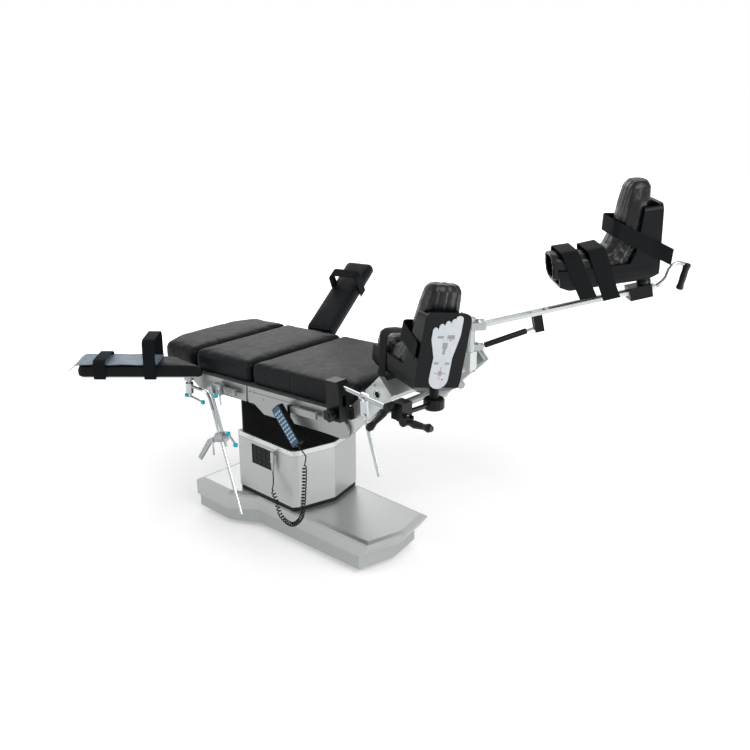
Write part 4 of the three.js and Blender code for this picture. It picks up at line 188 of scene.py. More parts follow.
def moulded_plastic(name, dark, light, roughness, grain_mm=0.9, bump=0.35, gloss=0.22):
    """Injection-moulded plastic: a fine spark-eroded grain that dulls the gloss."""
    material, shader = new_material(name, Specular_IOR_Level=gloss)
    grain = add_node(material, "TexVoronoi", {"Vector": object_place(material), "Scale": 1 / (grain_mm * MM)})
    cloud = add_node(material, "TexNoise", {"Vector": object_place(material), "Scale": 22.0, "Detail": 3.0})
    link(material, mixed(material, cloud.outputs["Fac"], dark, light), shader.inputs["Base Color"])
    link(material, ranged(material, cloud.outputs["Fac"], roughness - 0.06, roughness + 0.06),
         shader.inputs["Roughness"])
    bumped(material, shader, grain.outputs["Distance"], bump, 0.0001)
    return material


def coated_fabric(name, dark, light, roughness, gloss, crease_mm=38, crease=0.5):
    """Polyurethane-coated upholstery fabric: a soft sheen, fine pebble and shallow creases, with painted
    shade that darkens the crease hollows.
    """
    material, shader = new_material(name, Specular_IOR_Level=gloss)
    creases = add_node(material, "TexNoise", {
        "Vector": object_place(material), "Scale": 1 / (crease_mm * MM), "Detail": 3.0, "Distortion": 0.6})
    pebble = add_node(material, "TexVoronoi", {"Vector": object_place(material), "Scale": 1 / (1.4 * MM)})
    # The colour follows the crease height: darker in the hollows, as painted shade.
    link(material, mixed(material, creases.outputs["Fac"], dark, light), shader.inputs["Base Color"])
    link(material, ranged(material, creases.outputs["Fac"], roughness - 0.08, roughness + 0.1),
         shader.inputs["Roughness"])
    fine = add_node(material, "Math", {0: pebble.outputs["Distance"], 1: 0.05}, operation="MULTIPLY")
    height = add_node(material, "Math", {0: creases.outputs["Fac"], 1: fine.outputs["Value"]},
                      operation="ADD")
    bumped(material, shader, height.outputs["Value"], crease, 0.004)
    return material


def hook_webbing():
    """Hook and loop strap: a dead black pile over a ribbed weave, drawn at 2 mm so that it shows."""
    material, shader = new_material("hook_and_loop_webbing", Sheen_Weight=0.06, Sheen_Roughness=0.5,
                                    Specular_IOR_Level=0.08)
    ribs = add_node(material, "TexWave", {"Vector": object_place(material), "Scale": 1 / (2 * MM) / 6.28,
                                           "Distortion": 2.0, "Detail": 1.0})
    pile = add_node(material, "TexNoise", {"Vector": object_place(material), "Scale": 1 / (1.1 * MM)})
    link(material, mixed(material, pile.outputs["Fac"], "#080A0B", "#16191B"), shader.inputs["Base Color"])
    shader.inputs["Roughness"].default_value = 0.92
    height = add_node(material, "Math", {0: ribs.outputs["Fac"], 1: pile.outputs["Fac"]}, operation="ADD")
    bumped(material, shader, height.outputs["Value"], 0.5, 0.0006)
    return material


def black_rubber(name, smooth, dull, gloss=0.2, bump=0.2):
    """Moulded EPDM rubber: from a wiped gloss to a dusty bloom."""
    material, shader = new_material(name, Specular_IOR_Level=gloss)
    bloom = add_node(material, "TexNoise", {"Vector": object_place(material), "Scale": 60.0, "Detail": 5.0})
    link(material, mixed(material, bloom.outputs["Fac"], "#070808", "#121415"), shader.inputs["Base Color"])
    link(material, ranged(material, bloom.outputs["Fac"], smooth, dull), shader.inputs["Roughness"])
    bumped(material, shader, bloom.outputs["Fac"], bump, 0.0005)
    return material


def drape_film(dark, light, rim_band):
    """Translucent blue-grey pad cover film, softly wrinkled, with painted highlight on the fold crests and
    painted shade in the fold hollows, and a dark band on its rim attribute.
    """
    material, shader = new_material("blue_grey_drape_film", Roughness=0.4, Transmission_Weight=0.15)
    folds = add_node(material, "TexNoise", {"Vector": object_place(material), "Scale": 18.0, "Detail": 4.0,
                                             "Distortion": 1.0})
    rim = add_node(material, "Attribute", attribute_name="rim")
    # The colour follows the fold height: lighter on the crests and darker in the hollows, a painted highlight
    # and painted shade.
    colour = add_node(material, "MixRGB", {"Fac": rim.outputs["Fac"], "Color2": hex_colour(rim_band),
                                            "Color1": mixed(material, folds.outputs["Fac"], dark, light)})
    link(material, colour.outputs["Color"], shader.inputs["Base Color"])
    bumped(material, shader, folds.outputs["Fac"], 0.6, 0.004)
    return material


materials = {
    "covers": brushed_steel("belt_ground_stainless_cover", "#929594", "#B2B5B4", 0.36),
    "plinth": brushed_steel("belt_ground_stainless_skirt", "#8A8E8D", "#A6AAA9", 0.42),
    "trim": brushed_steel("buffed_stainless_trim", "#B4B7B6", "#CED0CF", 0.24),
    # The frame is much darker than the same satin stainless on the plates: painted shade on the frames below
    # the mattresses.
    "frame": brushed_steel("shaded_satin_stainless_frame", "#6E7271", "#8C908F", 0.34),
    "plate": brushed_steel("satin_stainless_plate", "#969A99", "#B4B8B7", 0.36),
    "works": brushed_steel("glass_blasted_steel_fitting", "#7A7F80", "#999E9F", 0.42, 0.8, (1, 1, 1)),
    "bright": polished_steel(),
    "black_plastic": moulded_plastic("black_polyamide_moulding", "#060708", "#0E1011", 0.3, gloss=0.16),
    "black_paint": moulded_plastic("black_powder_coat", "#060708", "#0D0F10", 0.3, 1.3, gloss=0.14),
    "boot": moulded_plastic("black_thermoformed_boot_shell", "#07090A", "#0F1214", 0.34, 1.5, 0.4, 0.11),
    "cushion": coated_fabric("black_coated_upholstery", "#05070A", "#0D1013", 0.42, 0.1),
    "liner": coated_fabric("glossy_black_liner_vinyl", "#040506", "#0B0D0F", 0.3, 0.26, 34, 0.35),
    "webbing": hook_webbing(),
    "rubber": black_rubber("moulded_black_rubber", 0.5, 0.7),
    "bellows": black_rubber("glossy_black_bellows_rubber", 0.3, 0.44, 0.05, 0.04),
    "white": moulded_plastic("white_acrylic_sole_plate", "#ADB2B6", "#B9BEC1", 0.28),
    "faceplate": moulded_plastic("slate_blue_membrane_panel", "#2C4860", "#375672", 0.32),
    "keys": moulded_plastic("pale_blue_membrane_key", "#8FAFC4", "#AFC8D8", 0.4),
    "turquoise": moulded_plastic("turquoise_clamp_knob", "#0A9DB2", "#16B6CB", 0.26),
    "grey_ink": moulded_plastic("grey_pad_printing", "#757D83", "#8A9298", 0.4),
    "red_ink": moulded_plastic("red_pad_printing", "#C0403A", "#D0544B", 0.4),
    "film": drape_film("#54697B", "#93A6B5", "#1F3F59"),
}

node_finish = {
    "base_cover": "covers", "column_cover": "covers", "base_plinth": "plinth", "lift_core": "works",
    "tilt_yoke": "works", "tilt_cross": "works", "tilt_cradle": "works", "socket_panel": "black_plastic",
    "cord_plug": "bright", "seat_frame": "frame", "back_frame": "frame", "head_frame": "frame",
    "bar_clamp": "black_paint", "clamp_knob": "black_plastic", "traction_bar": "bright",
    "bar_slider": "bright", "leg_riser": "plate", "stub_beam": "frame", "near_carriage": "black_paint",
    "near_crank": "black_plastic", "near_lever": "black_plastic", "near_boot_shell": "boot",
    "far_boot_shell": "boot", "near_boot_sole": "white", "far_boot_sole": "white", "beam_swivel": "works",
    "far_beam": "plate", "strut_barrel": "black_paint", "strut_rod": "bright", "far_carriage": "black_paint",
    "far_crank": "black_plastic", "rail_clamp": "works", "joint_clamp": "works", "bent_rod": "bright",
    "near_arm_board": "works", "far_arm_bracket": "works", "far_arm_knuckle": "works",
    "far_arm_board": "works", "pendant": "black_plastic",
}


def dress_nodes():
    for name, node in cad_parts.items():
        finish = "rubber" if name.startswith("castor_wheel") else node_finish.get(name)
        if finish:
            node.data.materials.clear()
            node.data.materials.append(materials[finish])


def paint_region(name, place, inside, finish):
    """Gives the faces of a node whose centre passes a test on a frame another finish."""
    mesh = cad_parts[name].data
    mesh.materials.append(materials[finish])
    to_place = (mm_to_row @ place).inverted()
    for face in mesh.polygons:
        if inside(to_place @ face.center):
            face.material_index = 1


dress_nodes()
# The beam's hanging bracket is a black sleeve; the strut's lower neck and eye are bright
paint_region("far_beam", beam_frame, lambda at: at.z < -13 and 180 < at.x < 235, "black_paint")
paint_region("strut_barrel", strut_frame, lambda at: at.x < 15, "bright")


# Making and placing pieces
def finished(name, mesh, finish, body, replaced=()):
    """A piece from a mesh that is already in the row frame."""
    piece = bpy.data.objects.new(name, mesh)
    bpy.context.collection.objects.link(piece)
    mesh.materials.clear()
    mesh.materials.append(materials[finish])
    if body:
        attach(piece, body)
    if replaced:
        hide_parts(*replaced)
    return piece


def from_bmesh(bm, name, place, smooth=True):
    """Closes a bmesh that is in millimetres on a frame and returns it as a mesh in the row frame."""
    bmesh.ops.transform(bm, matrix=mm_to_row @ place, verts=bm.verts)
    bmesh.ops.recalc_face_normals(bm, faces=bm.faces)
    for face in bm.faces:
        face.smooth = smooth
    mesh = bpy.data.meshes.new(name)
    bm.to_mesh(mesh)
    bm.free()
    return mesh


def applied(piece):
    """Applies a piece's modifiers."""
    graph = bpy.context.evaluated_depsgraph_get()
    mesh = bpy.data.meshes.new_from_object(piece.evaluated_get(graph))
    piece.modifiers.clear()
    piece.data = mesh
    return piece


def soft_edged(piece, width_mm, segments=2):
    """Rounds a piece's sharp edges."""
    bevel = piece.modifiers.new("edge", "BEVEL")
    bevel.width = width_mm * MM
    bevel.segments = segments
    bevel.limit_method = "ANGLE"
    return applied(piece)


def subdivided(piece):
    subdivision = piece.modifiers.new("subdivision", "SUBSURF")
    subdivision.levels = 1
    subdivision.render_levels = 1
    return applied(piece)


def extruded(bm, edges):
    """Extrudes edges in place; returns the new points and the new edges along them."""
    made = bmesh.ops.extrude_edge_only(bm, edges=edges)["geom"]
    points = [item for item in made if isinstance(item, bmesh.types.BMVert)]
    return points, [item for item in made if isinstance(item, bmesh.types.BMEdge)
                    and all(vert in points for vert in item.verts)]


def spun(outline, centre, axis, steps):
    """A closed outline turned once round an axis through centre."""
    bm = bmesh.new()
    points = [bm.verts.new(point) for point in outline]
    edges = [bm.edges.new(pair) for pair in zip(points, points[1:])]
    bmesh.ops.spin(bm, geom=[*points, *edges], cent=centre, axis=axis, angle=2 * math.pi, steps=steps,
                   use_merge=True)
    return bm


# Curly cord of the pendant, from the plug's relief to the pendant's collar
CORD_RADIUS = 2.4
CURLS = 38
CURL_RADIUS = 7.6
CURL_STEPS = 16
cord_route = {
    "low": [(67, -207, 290), (75, -216, 266)],
    "curled": [(75, -222, 246), (108, -232, 217), (147, -245, 168), (231, -262, 161), (310, -280, 226),
               (335, -290, 294), (354, -298, 396), (366, -304, 479)],
    "high": [(376, -308, 504), (388, -318, 524)],
}
plug_end = Vector((59, -201.3, 318.7))
collar_reach = 84 + 12


def catmull(points, steps):
    """Evenly spaced points on a centripetal Catmull-Rom curve through the points."""
    route = [2 * points[0] - points[1], *points, 2 * points[-1] - points[-2]]
    fine = []
    for a, b, c, d in zip(route, route[1:], route[2:], route[3:]):
        ab, bc, cd = ((b - a).length ** 0.5, (c - b).length ** 0.5, (d - c).length ** 0.5)
        leave = ((b - a) / ab - (c - a) / (ab + bc) + (c - b) / bc) * bc
        arrive = ((c - b) / bc - (d - b) / (bc + cd) + (d - c) / cd) * bc
        for i in range(steps):
            t = i / steps
            fine.append((2 * t ** 3 - 3 * t ** 2 + 1) * b + (t ** 3 - 2 * t ** 2 + t) * leave
                        + (3 * t ** 2 - 2 * t ** 3) * c + (t ** 3 - t ** 2) * arrive)
    fine.append(points[-1].copy())
    return spaced(fine, steps)


def spaced(points, count):
    """Points at even distances along a line of points."""
    total = sum((b - a).length for a, b in zip(points, points[1:]))
    result = [points[0].copy()]
    walked = 0.0
    for a, b in zip(points, points[1:]):
        step = (b - a).length
        while step > 0 and len(result) < count and walked + step >= total * len(result) / count:
            share = (total * len(result) / count - walked) / step
            result.append(a.lerp(b, share))
        walked += step
    result.append(points[-1].copy())
    return result


def curled_points():
    steps = CURLS * CURL_STEPS
    centres = catmull([Vector(p) for p in cord_route["curled"]], steps)
    tangents = [(b - a).normalized() for a, b in zip(centres, centres[1:])]
    tangents.append(tangents[-1])
    normal = tangents[0].cross(tangents[0].cross(Vector((1, 0, 0)))).normalized()
    result = []
    for i, (centre, along) in enumerate(zip(centres, tangents)):
        normal = (normal - along * normal.dot(along)).normalized()
        across = along.cross(normal)
        angle = 2 * math.pi * i / CURL_STEPS
        ease = min(1, i / CURL_STEPS, (steps - i) / CURL_STEPS)
        offset = normal * math.cos(angle) + across * math.sin(angle)
        result.append(centre + offset * CURL_RADIUS * ease)
    return result


def cord_points():
    lead = 9
    collar_end = pendant_frame @ Vector((0, 0, -collar_reach - 0.3))
    collar_lead = pendant_frame @ Vector((0, 0, -collar_reach - lead))
    low = [plug_end, plug_end - Vector((0, 0, lead)), *[Vector(p) for p in cord_route["low"]]]
    high = [*[Vector(p) for p in cord_route["high"]], collar_lead, collar_end]
    curled = curled_points()
    return [*catmull([*low, curled[0]], 16)[:-1], *curled, *catmull([curled[-1], *high], 16)[1:]]


def swept_round(name, points, radius, finish, body, replaced=(), sides=2):
    """A round bar or cord along points of the row frame, as a closed mesh."""
    curve = bpy.data.curves.new(name, "CURVE")
    curve.dimensions = "3D"
    curve.bevel_depth = radius * MM
    curve.bevel_resolution = sides
    curve.use_fill_caps = True
    spline = curve.splines.new("POLY")
    spline.points.add(len(points) - 1)
    for target, point in zip(spline.points, points):
        target.co = (*point, 1)
    line = bpy.data.objects.new(name, curve)
    bpy.context.collection.objects.link(line)
    bpy.context.view_layer.update()
    swept = bpy.data.meshes.new_from_object(line.evaluated_get(bpy.context.evaluated_depsgraph_get()))
    bpy.data.objects.remove(line)
    bpy.data.curves.remove(curve)
    bm = bmesh.new()
    bm.from_mesh(swept)
    bpy.data.meshes.remove(swept)
    bmesh.ops.remove_doubles(bm, verts=bm.verts, dist=1e-6)
    bmesh.ops.recalc_face_normals(bm, faces=bm.faces)
    for face in bm.faces:
        face.smooth = True
    mesh = bpy.data.meshes.new(name)
    bm.to_mesh(mesh)
    bm.free()
    return finished(name, mesh, finish, body, replaced)


def make_cord():
    points = [mm_to_row @ point for point in cord_points()]
    cord = swept_round("curly_cord", points, CORD_RADIUS, "rubber", None, ["pendant_cord"])
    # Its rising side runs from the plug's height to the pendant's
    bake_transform(cord)


make_cord()


# Cushions and arm pads: firm foam in a welded cover
def soft_copy(node_name, name, finish, body, voxel):
    """A remeshed copy of a soft node's solid, ready to be shaped."""
    bm = bmesh.new()
    bm.from_mesh(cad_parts[node_name].data)
    bmesh.ops.remove_doubles(bm, verts=bm.verts, dist=1e-5)
    mesh = bpy.data.meshes.new(name)
    bm.to_mesh(mesh)
    bm.free()
    piece = finished(name, mesh, finish, body, [node_name])
    remesh = piece.modifiers.new("remesh", "REMESH")
    remesh.mode = "VOXEL"
    remesh.voxel_size = voxel * MM
    remesh.use_smooth_shade = True
    smooth = piece.modifiers.new("smooth", "SMOOTH")
    smooth.iterations = 3
    return applied(piece)


def inflate(piece, pressure, cap_mm, frames=20):
    """Puffs a closed piece up as cloth, and stops each point at a set distance."""
    before = [vertex.co.copy() for vertex in piece.data.vertices]
    cloth = piece.modifiers.new("cloth", "CLOTH")
    cloth.settings.use_pressure = True
    cloth.settings.uniform_pressure_force = pressure
    cloth.settings.effector_weights.gravity = 0
    cloth.point_cache.frame_end = frames
    for step in range(1, frames + 1):
        bpy.context.scene.frame_set(step)
    applied(piece)
    bpy.context.scene.frame_set(1)
    for vertex, start in zip(piece.data.vertices, before):
        move = vertex.co - start
        if move.length > cap_mm * MM:
            vertex.co = start + move.normalized() * cap_mm * MM


def crease(piece, to_row, level, deep_mm, wide_mm, seams=()):
    """Draws the cover in along its rim at a height of the piece's own frame, and down each side seam."""
    to_piece = to_row.inverted()
    for vertex, normal in zip(piece.data.vertices, [v.normal.copy() for v in piece.data.vertices]):
        local = to_piece @ vertex.co
        pull = math.exp(-((local.z - level) / wide_mm) ** 2)
        upright = 1 - min(1.0, abs(normal.z))
        for seam in seams:
            pull = max(pull, upright * math.exp(-((local.x - seam) / wide_mm) ** 2))
        vertex.co -= normal * pull * deep_mm * MM


COVER_PRESSURE = 4
WELD_DEEP, WELD_WIDE = 1.6, 3.2
# Node, piece, body, voxel, swell, frame, height of the rim weld and places of the side seams
cushion_specs = [
    ("seat_cushion", "seat_mattress", "seat", 6, 4, table_frame, 172, (262,)),
    ("back_cushion", "back_mattress", None, 6, 4, table_frame, 172, (-150,)),
    ("head_cushion", "head_mattress", None, 6, 4, table_frame, 172, (-470,)),
    ("near_arm_pad", "near_arm_cushion", "near_arm", 5, 0.8, near_arm_frame, 40, (-20,)),
    ("far_arm_pad", "far_arm_cushion", "far_arm", 5, 1.6, far_arm_frame, 40, (460,)),
]


def make_cushions():
    for node_name, name, body, voxel, swell, place, level, seams in cushion_specs:
        piece = soft_copy(node_name, name, "cushion", body, voxel)
        inflate(piece, COVER_PRESSURE, swell)
        subdivided(piece)
        crease(piece, mm_to_row @ place, level, WELD_DEEP, WELD_WIDE, seams)
        if name == "back_mattress":
            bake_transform(piece)
        if name == "head_mattress":
            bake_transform(piece)


make_cushions()


# Boot liners: quilted padded sleeves
def smooth_step(value, low, high):
    share = min(1.0, max(0.0, (value - low) / (high - low)))
    return share * share * (3 - 2 * share)


LINER_VOXEL, GATHER_DEEP = 5.5, 2.6


def wrinkle(piece, to_row, depth_mm):
    """Sharp gathers over the ankle, shallow ones on the calf and sewn channels round the toe block."""
    to_boot = to_row.inverted()
    for vertex, normal in zip(piece.data.vertices, [v.normal.copy() for v in piece.data.vertices]):
        local = to_boot @ vertex.co
        ankle = math.exp(-((local.x + 85) / 60) ** 2 - ((local.z - 85) / 80) ** 2)
        along = (local.z - local.x) * 0.7
        fold = abs(math.sin(along / 11 + 2.2 * noise.noise(local / 55)))
        ridge = (1 - abs(noise.noise(local / 26))) ** 5
        toe = smooth_step(local.z, 225, 262)
        channel = abs(math.sin(local.y / 9.5)) ** 0.6 - 0.7
        calm = (0.7 * ridge - 0.3) * (0.4 + ankle) + (fold - 0.6) * ankle * 1.4
        vertex.co += normal * (calm * (1 - toe) + channel * toe * 1.1) * depth_mm * MM


def make_liners():
    for side, place in (("near", near_boot_frame), ("far", far_boot_frame)):
        piece = soft_copy(f"{side}_boot_liner", f"{side}_liner_sleeve", "liner", f"{side}_boot",
                          LINER_VOXEL)
        subdivided(piece)
        wrinkle(piece, mm_to_row @ place, GATHER_DEEP)


make_liners()


# Straps: hook and loop webbing over the pads and boots
def arch_points(half_wide, near_low, far_low, high, turn, steps=6):
    """A band's middle line: up one side, over the top and down the other, with its ends hanging free."""
    points = [Vector((0, -half_wide, near_low * (1 - i / 4))) for i in range(4)]
    for corner, start in ((-1, 180), (1, 90)):
        for i in range(steps + 1):
            angle = math.radians(start - 90 * i / steps)
            points.append(Vector((0, corner * (half_wide - turn) + turn * math.cos(angle),
                                  high - turn + turn * math.sin(angle))))
    points += [Vector((0, half_wide, far_low * i / 4)) for i in range(1, 5)]
    return points


def ribbon(points, wide, thick, waviness, divisions=6):
    """A flat band swept along points that lie across X."""
    bm = bmesh.new()
    row = [bm.verts.new(point - Vector((wide / 2, 0, 0))) for point in points]
    edges = [bm.edges.new(pair) for pair in zip(row, row[1:])]
    for _ in range(divisions):
        moved, edges = extruded(bm, edges)
        bmesh.ops.translate(bm, verts=moved, vec=(wide / divisions, 0, 0))
    for vert in bm.verts:
        vert.co.y += waviness * noise.noise(vert.co / 30)
        vert.co.z += waviness * noise.noise(vert.co / 30 + Vector((9, 9, 9)))
    bmesh.ops.recalc_face_normals(bm, faces=bm.faces)
    bmesh.ops.solidify(bm, geom=bm.faces[:], thickness=thick)
    return bm


STRAP_THICK = 2.6
STRAP_WAVES = 0.25
STRAP_CURL = 0.0035  # how fast the free end bows out below the pad's foot
STRAP_TWIST = 0.12


def strap_piece(name, node_name, body, place, half_wide, high, wide, ends=(-8, -8), skew=0.0, turn=26):
    """A band over a pad; skew slants it along X on its way down the near side, and its end curls out."""
    outer = arch_points(half_wide + STRAP_THICK, *ends, high + STRAP_THICK, turn)
    bm = ribbon(outer, wide, STRAP_THICK, STRAP_WAVES)
    for vert in bm.verts:
        near = smooth_step(-vert.co.y, -half_wide, half_wide)
        vert.co.x += skew * (high - vert.co.z) * near
        if vert.co.y < 0 and vert.co.z < 0:
            vert.co.y -= STRAP_CURL * vert.co.z ** 2
            vert.co.z += STRAP_TWIST * skew * vert.co.x
    mesh = from_bmesh(bm, name, place)
    piece = finished(name, mesh, "webbing", body, [node_name] if node_name else ())
    soft_edged(piece, 0.5)


BOOT_HALF = 82
# Place along the boot, height, lean, arch height, width, near and far ends, and slant
far_straps = {
    "knee": (-300, 8, 0, 122, 62, (-52, -20), 0.30),
    "shin": (-196, 8, 4, 118, 62, (-66, -20), 0.14),
    "foot": (-26, 172, 80, 112, 58, (-98, -30), -0.42),
}
near_straps = {
    "knee": (-262, 8, 0, 122, 58, (-30, -16), 0.16),
    "foot": (-26, 150, 80, 112, 56, (-52, -30), -0.12),
}


def make_straps():
    for side, boot, places in (("far", far_boot_frame, far_straps), ("near", near_boot_frame, near_straps)):
        for place, (x, z, lean, high, wide, ends, skew) in places.items():
            node_name = f"far_boot_strap_{place}" if side == "far" else None
            if side == "near" and place == "knee":
                node_name = "near_boot_strap"
            tilt = Matrix.Translation((x, 0, z)) @ Matrix.Rotation(math.radians(-lean), 4, "Y")
            strap_piece(f"{side}_strap_{place}", node_name, f"{side}_boot", boot @ tilt, BOOT_HALF + 0.6,
                        high, wide, ends, skew)
    for name, node_name, along, rise in (("wrist_strap", "near_arm_strap_wrist", 356, 23),
                                          ("elbow_strap", "near_arm_strap_elbow", 150, 110)):
        strap_piece(name, node_name, "near_arm", near_arm_frame @ Matrix.Translation((along, -42, 0)), 75.6,
                    50 + rise, 50, (-4, -4))
    strap_piece("far_arm_loop", "far_arm_strap", "far_arm", far_arm_frame @ Matrix.Translation((330, 0, 0)),
                70.6, 110, 50, (-4, -4))


make_straps()


# Column bellows: a moulded rubber sleeve with rounded ribs
column_corners = [Vector(p) for p in ((-174, -186), (156, -186), (174, -163), (215, 0), (174, 163),
                                      (156, 186), (-174, 186))]


def column_reach(angle, shrink):
    """How far the column's outline lies from its axis in one direction, drawn in by shrink."""
    aim = Vector((math.cos(angle), math.sin(angle)))
    reaches = []
    for start, end in zip(column_corners, column_corners[1:] + column_corners[:1]):
        outward = Vector(((end - start).y, -(end - start).x)).normalized()
        if outward.dot(aim) > 1e-6:
            reaches.append((outward.dot(start) - shrink) / outward.dot(aim))
    return min(reaches)


def column_point(angle, shrink, soften=0.05):
    """A point of the outline, its corners rounded by taking the mean of a few directions."""
    reach = sum(column_reach(angle + soften * k / 3, shrink) for k in range(-3, 4)) / 7
    return Vector((math.cos(angle) * reach, math.sin(angle) * reach))


def column_sleeve(levels, facets, soften):
    """A sleeve round the column, closed through (height, shrink) levels: up outside and down inside."""
    bm = bmesh.new()
    ring = bmesh.ops.create_circle(bm, segments=facets, radius=1)["verts"]
    edges = first = bm.edges[:]
    for step, (height, shrink) in enumerate(levels):
        if step:
            ring, edges = extruded(bm, edges)
        for vert in ring:
            flat = column_point(math.atan2(vert.co.y, vert.co.x), shrink, soften)
            vert.co = (flat.x, flat.y, height)
    bmesh.ops.bridge_loops(bm, edges=[*first, *edges])
    return bm


def make_bellows():
    bottom, top, ribs, rib_steps = 428.3, 564, 15, 8
    valley, rib_deep, inside = 11, 6.5, 14
    pitch = (top - bottom) / ribs
    levels = [(bottom + pitch * i / rib_steps,
               valley - rib_deep * abs(math.sin(math.pi * i / rib_steps)) ** 0.7)
              for i in range(ribs * rib_steps + 1)]
    bm = column_sleeve([*levels, (top, inside), (bottom, inside)], 144, 0.09)
    mesh = from_bmesh(bm, "ribbed_bellows", floor_frame)
    piece = finished("ribbed_bellows", mesh, "bellows", None, ["column_bellows"])
    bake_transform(piece)


def make_column_trim():
    """The black seal in the column's foot recess and the buffed band round its top."""
    for name, finish, slot, low, high, shrink in (
            ("column_seal", "rubber", "soft_rubber", 160.8, 178.6, 2.2),
            ("column_band", "trim", "brushed_cover", 407, 427.6, -0.5)):
        inner = shrink + 0.4
        bm = column_sleeve([(low, shrink), (high, shrink), (high, inner), (low, inner)], 180, 0.004)
        finished(name, from_bmesh(bm, name, floor_frame, smooth=False), finish, "base")


make_bellows()
make_column_trim()


# Hand pendant: a membrane panel with printed keys on the housing
def add_block(bm, low, high):
    """A block between two corners."""
    middle = [(a + b) / 2 for a, b in zip(low, high)]
    sides = [b - a for a, b in zip(low, high)]
    bmesh.ops.create_cube(bm, size=1, matrix=Matrix.Translation(middle) @ Matrix.Diagonal((*sides, 1)))


def add_disc(bm, centre, axis, radius, thick, segments=24):
    """A flat disc or short pin, centred on a point and facing along an axis."""
    turn = Vector(axis).to_track_quat("Z", "Y").to_matrix().to_4x4()
    bmesh.ops.create_cone(bm, cap_ends=True, segments=segments, radius1=radius, radius2=radius, depth=thick,
                          matrix=Matrix.Translation(centre) @ turn)


PENDANT_WIDE, PENDANT_LONG, PENDANT_FACE = 52, 168, -11


def make_pendant_panel():
    bm = bmesh.new()
    add_block(bm, (-23, PENDANT_FACE - 0.8, -80), (23, PENDANT_FACE, 80))
    upright = [edge for edge in bm.edges if abs((edge.verts[0].co - edge.verts[1].co).y) > 0.1]
    bmesh.ops.bevel(bm, geom=upright, offset=6, segments=5, profile=0.5, affect="EDGES", material=-1)
    mesh = from_bmesh(bm, "pendant_panel", pendant_frame, smooth=False)
    finished("pendant_panel", mesh, "faceplate", "seat")
    bm = bmesh.new()
    step_x, step_z = PENDANT_WIDE * 0.8 / 3, PENDANT_LONG * 0.8 / 9
    for column in range(3):
        for row in range(9):
            x = -0.4 * PENDANT_WIDE + step_x * (column + 0.5)
            z = -0.4 * PENDANT_LONG + step_z * (row + 0.5)
            add_block(bm, (x - 4.8, PENDANT_FACE - 1.7, z - 3.9), (x + 4.8, PENDANT_FACE - 0.4, z + 3.9))
    mesh = from_bmesh(bm, "pendant_keys", pendant_frame, smooth=False)
    soft_edged(finished("pendant_keys", mesh, "keys", "seat"), 0.4)


# Turquoise knobs on the ends of the clamp levers, a little longer than wide
KNOB_RADIUS, KNOB_STRETCH = 9.6, 1.12


def make_knobs():
    for name, place, body, centres in (
            ("rod_lever_knob", floor_frame, "bent_rod", [(-216, -326, 581), (-313, -334, 590)]),
            ("rail_lever_knob", floor_frame, "rail_clamp", [(-98, -348, 646)]),
            ("clamp_lever_knobs", joint_clamp_frame, "joint_clamp", [(61, 0, 10), (89, 0, -39)])):
        bm = bmesh.new()
        for centre in centres:
            shape = Matrix.Translation(centre) @ Matrix.Diagonal((KNOB_STRETCH, 1, 1, 1))
            bmesh.ops.create_uvsphere(bm, u_segments=24, v_segments=14, radius=KNOB_RADIUS, matrix=shape)
        finished(name, from_bmesh(bm, name, place), "turquoise", body)


# Thin locking levers of the two clamps on the near rail
def make_levers():
    for name, body, bars in (
            ("rail_clamp_levers", "rail_clamp", [((-112, -326, 660), (-98, -348, 646), 3.8),
                                                 ((-104, -326, 674), (-91, -331, 604), 3.4)]),
            ("joint_clamp_lever", "joint_clamp", [((-161, -330, 440), (-152, -335, 368), 3.8)])):
        bm = bmesh.new()
        for start, end, radius in bars:
            start, end = Vector(start), Vector(end)
            add_disc(bm, (start + end) / 2, end - start, radius, (end - start).length, 14)
        soft_edged(finished(name, from_bmesh(bm, name, floor_frame), "bright", body), 1)


# Far crank: a bright bent tube over the crank's arm and a waisted black grip
CRANK_TUBE = 7.4
CRANK_ARM = [(661, 0, 0), (696, 0, 22), (718, 0, 58), (753, 0, 68), (778, 0, 50)]
CRANK_GRIP_END = (742, 0, -30)
CRANK_GRIP = ((0, -11), (12, -9.5), (15, -4), (15, 4), (11, 13), (12.8, 34), (12.8, 52), (10.8, 71),
              (14.6, 80), (14, 90), (0, 93))


def make_crank_trim():
    arm = [mm_to_row @ (beam_frame @ point) for point in catmull([Vector(p) for p in CRANK_ARM], 10)]
    swept_round("far_crank_tube", arm, CRANK_TUBE, "bright", "far_crank", sides=3)
    bm = spun([(radius, 0, along) for radius, along in CRANK_GRIP], (0, 0, 0), (0, 0, 1), 28)
    bmesh.ops.remove_doubles(bm, verts=bm.verts, dist=0.01)
    start, end = Vector(CRANK_ARM[-1]), Vector(CRANK_GRIP_END)
    turn = (end - start).to_track_quat("Z", "Y").to_matrix().to_4x4()
    mesh = from_bmesh(bm, "far_crank_grip", beam_frame @ Matrix.Translation(start) @ turn)
    piece = finished("far_crank_grip", mesh, "black_plastic", "far_crank")
    subdivided(piece)


# Accessory socket on the near riser plate: a steel ring round a black insert with five pins
def make_riser_socket():
    middle, face, pin_circle = 240, -272, 8
    outline = [(middle + x, face + y, 0) for x, y in ((11, 2), (11, -1.4), (14, -2), (17, -0.9), (17, 0.2))]
    ring = spun(outline, (middle, 0, 0), (0, 1, 0), 40)
    finished("socket_ring", from_bmesh(ring, "socket_ring", riser_frame), "bright", "riser")
    insert = bmesh.new()
    add_disc(insert, (middle, face + 6.4, 0), (0, 1, 0), 14.6, 5)
    for angle in range(0, 360, 72):
        at = (middle + pin_circle * math.cos(math.radians(angle)), face + 3.4,
              pin_circle * math.sin(math.radians(angle)))
        add_disc(insert, at, (0, 1, 0), 1.6, 3, 12)
    mesh = from_bmesh(insert, "socket_insert", riser_frame, smooth=False)
    finished("socket_insert", mesh, "black_plastic", "riser")


